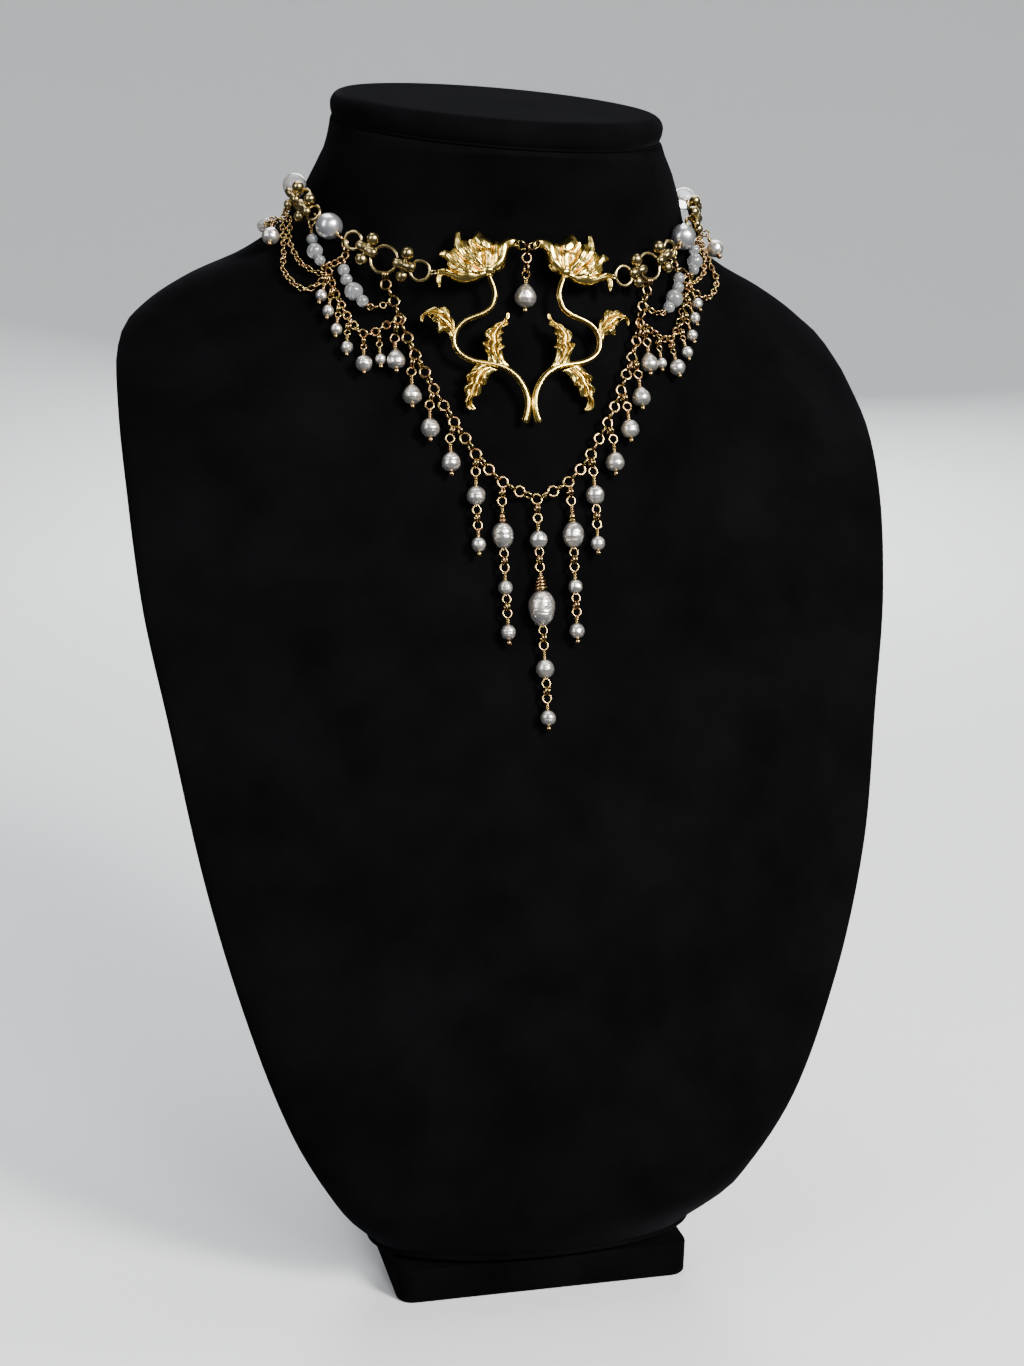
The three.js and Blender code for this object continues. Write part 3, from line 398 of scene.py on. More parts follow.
# what is lower than this over the stamping's plane is darkened with painted shade
BLOOM_SHALLOW = 1.5
STEM_SHALLOW = 0.75
LOW_PAINTED_SHADE_SHARE = 0.9  # how much of the painted shade comes from lying low
PAINTED_SHADE_GAIN = 13  # how strongly a dip in the surface is darkened with painted shade
# half of the section across the stem: share of its half width, and height
STEM_HALF = [(1, 0.1), (1, 0.22), (0.9, 0.25), (0.82, 0.5), (0.66, 0.92), (0.45, 1.2), (0.22, 1.36)]
STEM_TOP = 1.4
# place with its height on the stamping
BLOOM_BASE = {"place": (12.1, 18.3, 1.2), "half_sizes": (2.1, 1.5, 1.5)}
COLLAR = {"place": (11.95, 16.8, 0.9), "outer": 2.3, "wire": 0.9}


# ---- what a user would change ------------------------------------------------------------------
class ChokerBust(bpy.types.PropertyGroup):
    velvet: bpy.props.FloatVectorProperty(
        name="Velvet", description="Colour of the velvet", subtype="COLOR", size=3,
        min=0, max=1, default=(0.0017, 0.0017, 0.0019))
    seam_radius: bpy.props.FloatProperty(
        name="Seam radius", description="Radius of the corded seams", subtype="DISTANCE",
        unit="LENGTH", min=0, default=0.0009)


class ChokerMetal(bpy.types.PropertyGroup):
    gilt: bpy.props.FloatVectorProperty(
        name="Gilt", description="Colour of the flower stampings", subtype="COLOR", size=3,
        min=0, max=1, default=(0.86, 0.64, 0.18))
    chain: bpy.props.FloatVectorProperty(
        name="Chain", description="Colour of the chains and head pins", subtype="COLOR", size=3,
        min=0, max=1, default=(0.36, 0.27, 0.11))
    brass: bpy.props.FloatVectorProperty(
        name="Antique brass", description="Colour of the round links and bars", subtype="COLOR",
        size=3, min=0, max=1, default=(0.42, 0.325, 0.145))


class ChokerPearl(bpy.types.PropertyGroup):
    freshwater: bpy.props.FloatVectorProperty(
        name="Freshwater pearl", description="Colour of the drop pearls", subtype="COLOR", size=3,
        min=0, max=1, default=(0.66, 0.64, 0.59))
    glass: bpy.props.FloatVectorProperty(
        name="Glass pearl", description="Colour of the big round pearls", subtype="COLOR", size=3,
        min=0, max=1, default=(0.70, 0.71, 0.735))
    milky: bpy.props.FloatVectorProperty(
        name="Milky glass", description="Colour of the small strand beads", subtype="COLOR", size=3,
        min=0, max=1, default=(0.37, 0.385, 0.39))


class ChokerStage(bpy.types.PropertyGroup):
    floor: bpy.props.FloatVectorProperty(
        name="Floor", description="Colour of the floor", subtype="COLOR", size=3, min=0, max=1,
        default=(0.62, 0.63, 0.64))
    key: bpy.props.FloatProperty(
        name="Key light", description="Power of the key light", unit="POWER", min=0, default=9.0)


# ---- small helpers ------------------------------------------------------------------------------
def section(z):
    """Half width, front, widest, back and squareness of the bust at a height."""
    rows = BUST_SECTIONS
    z = min(max(z, rows[0][0]), rows[-1][0])
    i = 0
    while i + 2 < len(rows) and z > rows[i + 1][0]:
        i += 1
    low, high = rows[i], rows[i + 1]
    h = high[0] - low[0]
    t = (z - low[0]) / h
    s = 1 - t
    return [low[k + 1] * (1 + 2 * t) * s * s + high[k + 1] * t * t * (1 + 2 * s)
            + h * SLOPES[k][i] * t * s * s - h * SLOPES[k][i + 1] * t * t * s for k in range(5)]


def slopes_of(column):
    """Slopes of a section column that keep it from overshooting between its rows."""
    rows = BUST_SECTIONS
    steps = [b[0] - a[0] for a, b in zip(rows, rows[1:])]
    rises = [(b[column] - a[column]) / h for a, b, h in zip(rows, rows[1:], steps)]
    slopes = [rises[0]]
    for i in range(1, len(rows) - 1):
        if rises[i - 1] * rises[i] <= 0:
            slopes.append(0.0)
            continue
        before = 2 * steps[i] + steps[i - 1]
        after = steps[i] + 2 * steps[i - 1]
        slopes.append((before + after) / (before / rises[i - 1] + after / rises[i]))
    return slopes + [rises[-1]]


SLOPES = [slopes_of(column) for column in range(1, 6)]


def outside(p):
    """A value that grows outwards from 0 at the bust's skin."""
    half_width, front, widest, back, power = section(p.z)
    dy = p.y - widest
    half = widest - front if dy < 0 else back - widest
    reach = (abs(p.x / half_width) ** power + abs(dy / half) ** power) ** (1 / power)
    return (reach - 1) * min(half_width, half)


def gradient(p):
    """How fast the bust's outside value grows along each axis."""
    step = 0.3
    axes = (Vector((step, 0, 0)), Vector((0, step, 0)), Vector((0, 0, step)))
    return Vector([(outside(p + a) - outside(p - a)) / (2 * step) for a in axes])


def outward(p):
    """The direction straight out of the bust's skin."""
    return gradient(p).normalized()


def seat(place, height):
    """The place near this one that stands off the bust by the given height."""
    p = Vector(place)
    for _ in range(8):
        g = gradient(p)
        p -= g * ((outside(p) / g.length - height) / g.length)
    return p


def mirrored(place, side):
    return Vector((place[0] * side, place[1], place[2]))


def smooth_path(points, count):
    """Points at equal distances on a smooth curve through the given ones."""
    points = [Vector(p) for p in points]
    ends = [points[0] * 2 - points[1]] + points + [points[-1] * 2 - points[-2]]
    fine = []
    for i in range(1, len(ends) - 2):
        a, b, c, d = ends[i - 1:i + 3]
        for k in range(12):
            t = k / 12
            fine.append(0.5 * ((2 * b) + (c - a) * t + (2 * a - 5 * b + 4 * c - d) * t * t
                               + (3 * b - a - 3 * c + d) * t ** 3))
    fine.append(points[-1])
    return even_path(fine, count)


def even_path(points, count):
    """Points at equal distances along straight steps."""
    points = [Vector(p) for p in points]
    lengths = [0.0]
    for a, b in zip(points, points[1:]):
        lengths.append(lengths[-1] + (b - a).length)
    made, i = [], 0
    for k in range(count):
        want = lengths[-1] * k / max(1, count - 1)
        while i + 2 < len(lengths) and lengths[i + 1] < want:
            i += 1
        step = lengths[i + 1] - lengths[i]
        made.append(points[i].lerp(points[i + 1], (want - lengths[i]) / step if step else 0))
    return made


def path_length(points):
    return sum((Vector(b) - Vector(a)).length for a, b in zip(points, points[1:]))


def bell(x, middle, width):
    """A bell curve, 1 at its middle."""
    return math.exp(-((x - middle) / width) ** 2)


def turned(place, z_axis, x_hint=None):
    """A placing that stands Z along an axis, with X as near the hint as it can be."""
    z = Vector(z_axis).normalized()
    x = Vector(x_hint) if x_hint is not None else Vector((1, 0.01, 0.02))
    x = x - z * x.dot(z)
    if x.length < 1e-5:
        x = z.orthogonal()
    x.normalize()
    y = z.cross(x)
    m = Matrix((x, y, z)).transposed().to_4x4()
    m.translation = Vector(place)
    return m


# ---- shapes, each a mesh in millimetres ---------------------------------------------------------
def mesh_of(bm, name="shape"):
    mesh = bpy.data.meshes.new(name)
    bm.to_mesh(mesh)
    bm.free()
    return mesh


def loft(rows):
    """A skin over rows of points, each row extruded from the one before it."""
    bm = bmesh.new()
    order = bm.verts.layers.int.new("order")
    ring = bmesh.ops.create_circle(bm, cap_ends=True, segments=len(rows[0]), radius=1)["verts"]
    for k, v in enumerate(ring):
        v[order] = k
        v.co = rows[0][k]
    edges = bm.edges[:]
    for row in rows[1:]:
        made = bmesh.ops.extrude_edge_only(bm, edges=edges)["geom"]
        fresh = {v for v in made if isinstance(v, bmesh.types.BMVert)}
        for v in fresh:
            v.co = row[v[order]]
        edges = [e for e in made if isinstance(e, bmesh.types.BMEdge)
                 and e.verts[0] in fresh and e.verts[1] in fresh]
    bmesh.ops.edgeloop_fill(bm, edges=edges)
    bmesh.ops.remove_doubles(bm, verts=bm.verts, dist=1e-4)
    bmesh.ops.recalc_face_normals(bm, faces=bm.faces)
    return mesh_of(bm)


def spun(profile, steps):
    """A bmesh of the outline given as radius and height, turned about Z."""
    bm = bmesh.new()
    before = None
    for r, z in profile:
        v = bm.verts.new((r, 0, z))
        if before:
            bm.edges.new((before, v))
        before = v
    bmesh.ops.spin(bm, geom=bm.verts[:] + bm.edges[:], cent=(0, 0, 0), axis=(0, 0, 1),
                   angle=2 * math.pi, steps=steps, use_merge=True)
    bmesh.ops.remove_doubles(bm, verts=bm.verts, dist=1e-4)
    bmesh.ops.recalc_face_normals(bm, faces=bm.faces)
    return bm


def ring_shape(outer, wire, around, stretch=1.0):
    """A closed round ring of wire about Z, made longer along X by the stretch."""
    bm = bmesh.new()
    bmesh.ops.create_circle(bm, segments=8, radius=wire / 2,
                            matrix=Matrix.Translation(((outer - wire) / 2, 0, 0))
                            @ Matrix.Rotation(math.pi / 2, 4, "X"))
    bmesh.ops.spin(bm, geom=bm.verts[:] + bm.edges[:], cent=(0, 0, 0), axis=(0, 0, 1),
                   angle=2 * math.pi, steps=around, use_merge=True)
    bmesh.ops.remove_doubles(bm, verts=bm.verts, dist=1e-4)
    bmesh.ops.scale(bm, vec=(stretch, 1, 1), verts=bm.verts)
    bmesh.ops.recalc_face_normals(bm, faces=bm.faces)
    return mesh_of(bm)


def ball_shape(radius, around, rows):
    bm = bmesh.new()
    bmesh.ops.create_uvsphere(bm, u_segments=around, v_segments=rows, radius=radius)
    return mesh_of(bm)


def tube_shape(points, radius, sides=3, cyclic=False):
    """A round tube along points. Its sides value is Blender's bevel resolution."""
    curve = bpy.data.curves.new("wire", "CURVE")
    curve.dimensions = "3D"
    curve.bevel_depth = radius
    curve.bevel_resolution = sides
    curve.use_fill_caps = True
    spline = curve.splines.new("POLY")
    spline.points.add(len(points) - 1)
    for point, place in zip(spline.points, points):
        point.co = (*place, 1)
    spline.use_cyclic_u = cyclic
    holder = bpy.data.objects.new("wire", curve)
    mesh = bpy.data.meshes.new_from_object(holder)
    bpy.data.objects.remove(holder)
    bpy.data.curves.remove(curve)
    return mesh


def coil_shape(radius, wire, turns, length, end_radius=None, pointed=8):
    """A coil of wire about Z, centred on the origin."""
    end_radius = radius if end_radius is None else end_radius
    count = max(12, round(turns * pointed))
    points = []
    for k in range(count + 1):
        t = k / count
        a = 2 * math.pi * turns * t
        r = radius + (end_radius - radius) * t
        points.append((r * math.cos(a), r * math.sin(a), length * (t - 0.5)))
    return tube_shape(points, wire / 2, 2)


def eye_shape(outer, wire, stem, point=0.1):
    """An eye of wire in the XZ plane, drawn to a point at its stem down -Z, centred on the origin."""
    r = (outer - wire) / 2
    points = [(0, 0, -r - stem), (0, 0, -r * (1.1 + point))]
    for k in range(17):
        a = math.radians(-80 + 342 * k / 16)
        pull = 1 + point * max(0, -math.sin(a)) ** 3
        narrow = 1 - 0.5 * (pull - 1)
        points.append((r * math.cos(a) * narrow, 0.3 * wire * k / 16, r * math.sin(a) * pull))
    return tube_shape(points, wire / 2, 2)


def pearl_shape(half_width, half_height, taper, grooves, seed, around=28, rows=30):
    """A pearl with its drill hole along Z. Taper narrows the top, grooves ring it like growth lines."""
    bm = bmesh.new()
    bmesh.ops.create_uvsphere(bm, u_segments=around, v_segments=rows, radius=1)
    rng = random.Random(seed)
    bands = [(rng.uniform(-0.75, 0.6), rng.uniform(0.04, 0.08), rng.uniform(0.5, 1)) for _ in range(grooves)]
    lean = Vector((rng.uniform(-0.05, 0.05), rng.uniform(-0.05, 0.05), 0))
    for v in bm.verts:
        z = v.co.z
        wide = 1 - taper * z - 0.5 * abs(taper) * max(0, z) ** 3
        dip = sum(depth * bell(z, at, width) for at, width, depth in bands)
        rough = noise.noise(v.co * 1.6 + Vector((seed, 0, 0))) * 0.035
        wide *= 1 - 0.05 * dip + rough
        v.co = Vector((v.co.x * wide, v.co.y * wide, z * (1 + rough))) + lean * z
        v.co = Vector((v.co.x * half_width, v.co.y * half_width, v.co.z * half_height))
    return mesh_of(bm)


class Piece:
    """Shapes gathered into one object, in millimetres until it is finished."""

    def __init__(self):
        self.bm = bmesh.new()

    def add(self, mesh, placing=None, keep=False):
        """Adds a shape at its place, and removes the shape unless it is kept for others."""
        shape = mesh.copy() if keep else mesh
        if placing is not None:
            shape.transform(placing)
        self.bm.from_mesh(shape)
        bpy.data.meshes.remove(shape)
        return self

    def finish(self, name, material, slot, node, after=None):
        """Makes the object, which rides on the root body and stands for a CAD node."""
        bm = self.bm
        bmesh.ops.recalc_face_normals(bm, faces=bm.faces)
        bmesh.ops.scale(bm, vec=(MM, MM, MM), verts=bm.verts)
        for face in bm.faces:
            face.smooth = True
        mesh = mesh_of(bm, name)
        if after is not None:
            after(mesh)
        mesh.materials.append(material)
        obj = bpy.data.objects.new(name, mesh)
        bpy.context.scene.collection.objects.link(obj)
        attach(obj, "root")
        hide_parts(node)
        return obj


SHAPES = {}


def stock(key, maker):
    """A shape made once and copied wherever it is used."""
    if key not in SHAPES:
        SHAPES[key] = maker()
    return SHAPES[key]


def put_ring(piece, place, axis, outer, wire, around=18, stretch=1.0, along=None):
    """Adds a ring that faces along its axis."""
    shape = stock(("ring", outer, wire, around, stretch), lambda: ring_shape(outer, wire, around, stretch))
    piece.add(shape, turned(place, axis, along), keep=True)


def put_ball(piece, place, radius, around=16, rows=10):
    shape = stock(("ball", radius, around, rows), lambda: ball_shape(radius, around, rows))
    piece.add(shape, Matrix.Translation(place), keep=True)


def lay_chain(piece, centres, size, seed, stretch=1.0, lean=0.0, around=14):
    """Rings linked one through the next at the given centres, each turned a quarter from the last.

    The lean turns them all from lying flat on the bust.
    """
    outer, wire = size
    rng = random.Random(seed)
    for i, centre in enumerate(centres):
        before = centres[max(0, i - 1)]
        after = centres[min(len(centres) - 1, i + 1)]
        along = (after - before).normalized()
        out = outward(centre)
        out = (out - along * out.dot(along)).normalized()
        turn = lean if i % 2 == 0 else lean - math.pi / 2
        axis = Matrix.Rotation(turn + rng.uniform(-0.2, 0.2), 3, along) @ out
        put_ring(piece, centre, axis, outer / math.sqrt(stretch), wire, around, stretch, along)


def chain_places(route, pitch, height=None):
    """Places for links along a route, about a pitch apart, at a height over the bust if one is given."""
    count = max(3, round(path_length(smooth_path(route, 60)) / pitch) + 1)
    places = smooth_path(route, count)
    if height is not None:
        places = [seat(p, height) for p in places]
    return places


# ---- materials ----------------------------------------------------------------------------------
PAINTED_SHADE_TINT = (0.13, 0.085, 0.05)  # how much of the gilt's colour is left in painted shade, in the hollows and low places
GILT_ROUGHNESS = (0.21, 0.5)  # on the open relief and in the hollows, where shade is also painted


def group_of(name, inputs, outputs):
    """A shader group with its input and output nodes."""
    tree = bpy.data.node_groups.new(name, "ShaderNodeTree")
    for label, kind, value in inputs:
        socket = tree.interface.new_socket(label, in_out="INPUT", socket_type=kind)
        if value is not None:
            socket.default_value = value
    for label, kind in outputs:
        tree.interface.new_socket(label, in_out="OUTPUT", socket_type=kind)
    return tree, tree.nodes.new("NodeGroupInput"), tree.nodes.new("NodeGroupOutput")


def node(tree, kind, **settings):
    """A new node. A setting that starts with in_ is the value of an input."""
    made = tree.nodes.new(kind)
    for key, value in settings.items():
        if key.startswith("in_"):
            made.inputs[key[3:].replace("_", " ")].default_value = value
        else:
            setattr(made, key, value)
    return made


def mottle_group():
    """Cloudy variation between two colours, with a value to vary the finish."""
    if "mottle" in bpy.data.node_groups:
        return bpy.data.node_groups["mottle"]
    tree, enter, leave = group_of(
        "mottle",
        [("Scale", "NodeSocketFloat", 300.0), ("Contrast", "NodeSocketFloat", 1.0),
         ("First", "NodeSocketColor", None), ("Second", "NodeSocketColor", None)],
        [("Color", "NodeSocketColor"), ("Value", "NodeSocketFloat")])
    place = node(tree, "ShaderNodeTexCoord")
    cloud = node(tree, "ShaderNodeTexNoise", in_Detail=3.0, in_Roughness=0.55)
    tree.links.new(place.outputs["Object"], cloud.inputs["Vector"])
    tree.links.new(enter.outputs["Scale"], cloud.inputs["Scale"])
    centre = node(tree, "ShaderNodeMath", operation="SUBTRACT")
    centre.inputs[1].default_value = 0.5
    spread = node(tree, "ShaderNodeMath", operation="MULTIPLY_ADD", use_clamp=True)
    spread.inputs[2].default_value = 0.5
    tree.links.new(cloud.outputs["Fac"], centre.inputs[0])
    tree.links.new(centre.outputs[0], spread.inputs[0])
    tree.links.new(enter.outputs["Contrast"], spread.inputs[1])
    mix = node(tree, "ShaderNodeMix", data_type="RGBA")
    tree.links.new(spread.outputs[0], mix.inputs["Factor"])
    tree.links.new(enter.outputs["First"], mix.inputs[6])
    tree.links.new(enter.outputs["Second"], mix.inputs[7])
    tree.links.new(mix.outputs[2], leave.inputs["Color"])
    tree.links.new(spread.outputs[0], leave.inputs["Value"])
    return tree


def grain_group():
    """A fine raised grain, as a normal."""
    if "fine_grain" in bpy.data.node_groups:
        return bpy.data.node_groups["fine_grain"]
    tree, enter, leave = group_of(
        "fine_grain",
        [("Scale", "NodeSocketFloat", 2000.0), ("Strength", "NodeSocketFloat", 0.2),
         ("Depth", "NodeSocketFloat", 0.0002)],
        [("Normal", "NodeSocketVector")])
    place = node(tree, "ShaderNodeTexCoord")
    grain = node(tree, "ShaderNodeTexNoise", in_Detail=4.0, in_Roughness=0.6)
    tree.links.new(place.outputs["Object"], grain.inputs["Vector"])
    tree.links.new(enter.outputs["Scale"], grain.inputs["Scale"])
    bump = node(tree, "ShaderNodeBump")
    tree.links.new(grain.outputs["Fac"], bump.inputs["Height"])
    tree.links.new(enter.outputs["Strength"], bump.inputs["Strength"])
    tree.links.new(enter.outputs["Depth"], bump.inputs["Distance"])
    tree.links.new(bump.outputs["Normal"], leave.inputs["Normal"])
    return tree


def new_material(name, **sockets):
    """A material with its tree and its shader, or the one made before, with neither."""
    if name in bpy.data.materials:
        return bpy.data.materials[name], None, None
    material = bpy.data.materials.new(name)
    material.use_nodes = True
    tree = material.node_tree
    shader = tree.nodes["Principled BSDF"]
    for key, value in sockets.items():
        shader.inputs[key.replace("_", " ")].default_value = value
    return material, tree, shader


def growth_group():
    """Fine lines across Z that come and go, with a soft unevenness, as a normal."""
    if "growth_lines" in bpy.data.node_groups:
        return bpy.data.node_groups["growth_lines"]
    tree, enter, leave = group_of(
        "growth_lines", [("Strength", "NodeSocketFloat", 0.5)], [("Normal", "NodeSocketVector")])
    place = node(tree, "ShaderNodeTexCoord")
    spread = node(tree, "ShaderNodeMapping")
    spread.inputs["Scale"].default_value = (90, 90, 1500)
    lines = node(tree, "ShaderNodeTexNoise", in_Scale=1.0, in_Detail=2.0)
    where = node(tree, "ShaderNodeTexNoise", in_Scale=330.0, in_Detail=1.0)
    rough = node(tree, "ShaderNodeTexNoise", in_Scale=950.0, in_Detail=2.0)
    mask = node(tree, "ShaderNodeMapRange", in_From_Min=0.46, in_From_Max=0.6)
    both = node(tree, "ShaderNodeMath", operation="MULTIPLY")
    total = node(tree, "ShaderNodeMath", operation="MULTIPLY_ADD")
    total.inputs[1].default_value = 0.35
    bump = node(tree, "ShaderNodeBump", in_Distance=0.00035)
    for source, target in ((place.outputs["Object"], spread.inputs["Vector"]),
                           (spread.outputs["Vector"], lines.inputs["Vector"]),
                           (place.outputs["Object"], where.inputs["Vector"]),
                           (place.outputs["Object"], rough.inputs["Vector"]),
                           (where.outputs["Fac"], mask.inputs["Value"]),
                           (lines.outputs["Fac"], both.inputs[0]), (mask.outputs["Result"], both.inputs[1]),
                           (rough.outputs["Fac"], total.inputs[0]), (both.outputs[0], total.inputs[2]),
                           (total.outputs[0], bump.inputs["Height"]),
                           (enter.outputs["Strength"], bump.inputs["Strength"]),
                           (bump.outputs["Normal"], leave.inputs["Normal"])):
        tree.links.new(source, target)
    return tree


def grown(tree, shader):
    """Gives the surface the growth lines of nacre."""
    lines = node(tree, "ShaderNodeGroup", node_tree=growth_group())
    lines.inputs["Strength"].default_value = 0.7
    tree.links.new(lines.outputs["Normal"], shader.inputs["Normal"])


def tinted(tree, shader, scale, contrast, first, second, roughness=None):
    """Feeds a mottled colour, and a roughness between two values, into the shader."""
    mottle = node(tree, "ShaderNodeGroup", node_tree=mottle_group())
    mottle.inputs["Scale"].default_value = scale
    mottle.inputs["Contrast"].default_value = contrast
    mottle.inputs["First"].default_value = (*first, 1)
    mottle.inputs["Second"].default_value = (*second, 1)
    tree.links.new(mottle.outputs["Color"], shader.inputs["Base Color"])
    if roughness:
        ramp = node(tree, "ShaderNodeMapRange")
        ramp.inputs["To Min"].default_value, ramp.inputs["To Max"].default_value = roughness
        tree.links.new(mottle.outputs["Value"], ramp.inputs["Value"])
        tree.links.new(ramp.outputs["Result"], shader.inputs["Roughness"])
    return mottle


def grained(tree, shader, scale, strength, depth):
    """Gives the surface a fine raised grain."""
    grain = node(tree, "ShaderNodeGroup", node_tree=grain_group())
    grain.inputs["Scale"].default_value = scale
    grain.inputs["Strength"].default_value = strength
    grain.inputs["Depth"].default_value = depth
    tree.links.new(grain.outputs["Normal"], shader.inputs["Normal"])


def shade(colour, factor):
    return tuple(min(1.0, c * factor) for c in colour)


def velvet():
    """Black velvet: a short pile that takes light at a grazing angle, brushed in faint patches."""
    colour = bpy.context.scene.choker_bust.velvet
    material, tree, shader = new_material(
        "black_velvet_pile", Sheen_Weight=0.035, Sheen_Roughness=0.3, Sheen_Tint=(0.4, 0.41, 0.45, 1),
        Specular_IOR_Level=0.0)
    if tree:
        tinted(tree, shader, 38, 1.6, shade(colour, 0.6), shade(colour, 1.6), (0.86, 1.0))
        grained(tree, shader, 2600, 0.6, 0.0003)
    return material


def gilt():
    """Polished gilt brass, with shade painted dark into the hollows of its relief and where it lies low."""
    colour = bpy.context.scene.choker_metal.gilt
    material, tree, shader = new_material("gilt_stamping", Metallic=1.0)
    if tree:
        mottle = tinted(tree, shader, 260, 1.4, shade(colour, 0.86), shade(colour, 1.12))
        # painted shade: this mark darkens the gilt towards brown in the hollows and low places of the relief
        painted_hollow_shade = node(tree, "ShaderNodeAttribute", attribute_name="painted_hollow_shade")
        dark = node(tree, "ShaderNodeMix", data_type="RGBA")
        dark.inputs[7].default_value = (*[c * f for c, f in zip(colour, PAINTED_SHADE_TINT)], 1)
        tree.links.new(painted_hollow_shade.outputs["Fac"], dark.inputs["Factor"])
        tree.links.new(mottle.outputs["Color"], dark.inputs[6])
        tree.links.new(dark.outputs[2], shader.inputs["Base Color"])
        rough = node(tree, "ShaderNodeMapRange")
        rough.inputs["To Min"].default_value, rough.inputs["To Max"].default_value = GILT_ROUGHNESS
        tree.links.new(painted_hollow_shade.outputs["Fac"], rough.inputs["Value"])
        tree.links.new(rough.outputs["Result"], shader.inputs["Roughness"])
        grained(tree, shader, 480, 0.16, 0.0004)
    return material


def chain_gold():
    """Plated chain and pins, pale gold with coppery patches."""
    colour = bpy.context.scene.choker_metal.chain
    material, tree, shader = new_material("plated_chain", Metallic=1.0)
    if tree:
        tinted(tree, shader, 420, 2.6, (colour[0] * 0.84, colour[1] * 0.94, colour[2] * 0.72),
               (colour[0] * 1.15, colour[1] * 0.84, colour[2] * 1.1), (0.13, 0.27))
        grained(tree, shader, 1800, 0.1, 0.0001)
    return material


def antique():
    """Antique brass, olive where it has dulled."""
    colour = bpy.context.scene.choker_metal.brass
    material, tree, shader = new_material("antique_brass_wire", Metallic=1.0)
    if tree:
        tinted(tree, shader, 300, 1.9, shade(colour, 0.66), shade(colour, 1.25), (0.18, 0.34))
        grained(tree, shader, 1400, 0.14, 0.0001)
    return material


def freshwater():
    """Nacre with growth lines, faint warm and cool patches and a wet gloss."""
    colour = bpy.context.scene.choker_pearl.freshwater
    material, tree, shader = new_material(
        "freshwater_nacre", Metallic=0.9, Coat_Weight=1.0, Coat_Roughness=0.08, Coat_IOR=2.0,
        Specular_IOR_Level=0.6)
    if tree:
        tinted(tree, shader, 330, 2.2, (colour[0] * 0.84, colour[1] * 0.86, colour[2] * 0.96),
               (colour[0] * 1.14, colour[1] * 1.08, colour[2]), (0.26, 0.37))
        grown(tree, shader)
    return material


def glass_pearl():
    """Coated glass pearl, cool and even."""
    colour = bpy.context.scene.choker_pearl.glass
    material, tree, shader = new_material(
        "coated_glass_pearl", Metallic=0.9, Coat_Weight=1.0, Coat_Roughness=0.05, Coat_IOR=2.1,
        Specular_IOR_Level=0.7)
    if tree:
        tinted(tree, shader, 160, 1.2, shade(colour, 0.93), shade(colour, 1.06), (0.24, 0.32))
        grained(tree, shader, 700, 0.08, 0.0002)
    return material


def milky_glass():
    """Milky glass beads that light passes into."""
    colour = bpy.context.scene.choker_pearl.milky
    material, tree, shader = new_material(
        "milky_glass", Transmission_Weight=0.72, IOR=1.35, Specular_IOR_Level=0.5, Coat_Weight=1.0,
        Coat_Roughness=0.07, Coat_IOR=1.8)
    if tree:
        tinted(tree, shader, 500, 1.5, shade(colour, 0.92), shade(colour, 1.06), (0.3, 0.45))
        grained(tree, shader, 1200, 0.1, 0.0002)
    return material


def clear_bead():
    """Frosted clear glass."""
    material, tree, shader = new_material(
        "frosted_bead", Transmission_Weight=0.75, IOR=1.45, Specular_IOR_Level=0.5)
    if tree:
        tinted(tree, shader, 500, 1.2, (0.68, 0.70, 0.71), (0.84, 0.86, 0.87), (0.14, 0.3))
        grained(tree, shader, 900, 0.08, 0.0002)
    return material


# ---- the bust's pieces --------------------------------------------------------------------------
def bust_row(z, swell=0.0):
    """Points round the bust at a height, moved out by the swell."""
    half_width, front, widest, back, power = section(z)
    row = []
    for k in range(BUST_AROUND):
        a = 2 * math.pi * k / BUST_AROUND
        c, s = math.cos(a), math.sin(a)
        half = back - widest if s > 0 else widest - front
        row.append(Vector((math.copysign(abs(c) ** (2 / power), c) * (half_width + swell),
                           widest + math.copysign(abs(s) ** (2 / power), s) * (half + swell), z)))
    return row


def cap_placing():
    """Leans a shape and moves it onto the neck."""
    return (Matrix.Translation(CAP["middle"]) @ Matrix.Rotation(CAP["lean"], 4, "Y")
            @ Matrix.Rotation(CAP["tilt"], 4, "X"))


def make_bust_body():
    """The body, rolled under at its bottom and shut by the neck cap's slope at the top."""
    roll = Vector(ROLL_UNDER["towards"])
    rows = [[p.lerp(roll, ROLL_UNDER["share"]) for p in bust_row(BUST_BOTTOM)]]
    z = BUST_BOTTOM + ROLL_UNDER["height"]
    while z < NECK_LEVEL:
        rows.append(bust_row(z))
        z += BUST_STEP if EVEN_HEIGHTS[0] < z < EVEN_HEIGHTS[1] else BUST_STEP / 2
    middle = Vector(CAP["middle"])
    under = CAP["thickness"] + CAP["gap"]
    for t in (0.25, 0.5, 0.75, 1.0):
        row = bust_row(NECK_LEVEL + NECK_REACH * t)
        for p in row:
            limit = (middle.z - under + (p.y - middle.y) * math.tan(CAP["tilt"])
                     - p.x * math.tan(CAP["lean"]))
            p.z = NECK_LEVEL + (limit - NECK_LEVEL) * t
        rows.append(row)
    piece = Piece().add(loft(rows))
    seam = bust_row(BUST_BOTTOM + SEAM_RISE, SEAM_SWELL)
    piece.add(tube_shape(seam, bpy.context.scene.choker_bust.seam_radius / MM, cyclic=True))
    piece.finish("bust_body_velvet", velvet(), "black_velvet", "bust_body")


def cap_row(inset, z):
    """Points of an oval round the cap, inset from its edge."""
    row = []
    for k in range(BUST_AROUND):
        a = 2 * math.pi * k / BUST_AROUND
        row.append(Vector(((CAP["half_width"] - inset) * math.cos(a),
                           (CAP["half_depth"] - inset) * math.sin(a), z)))
    return row


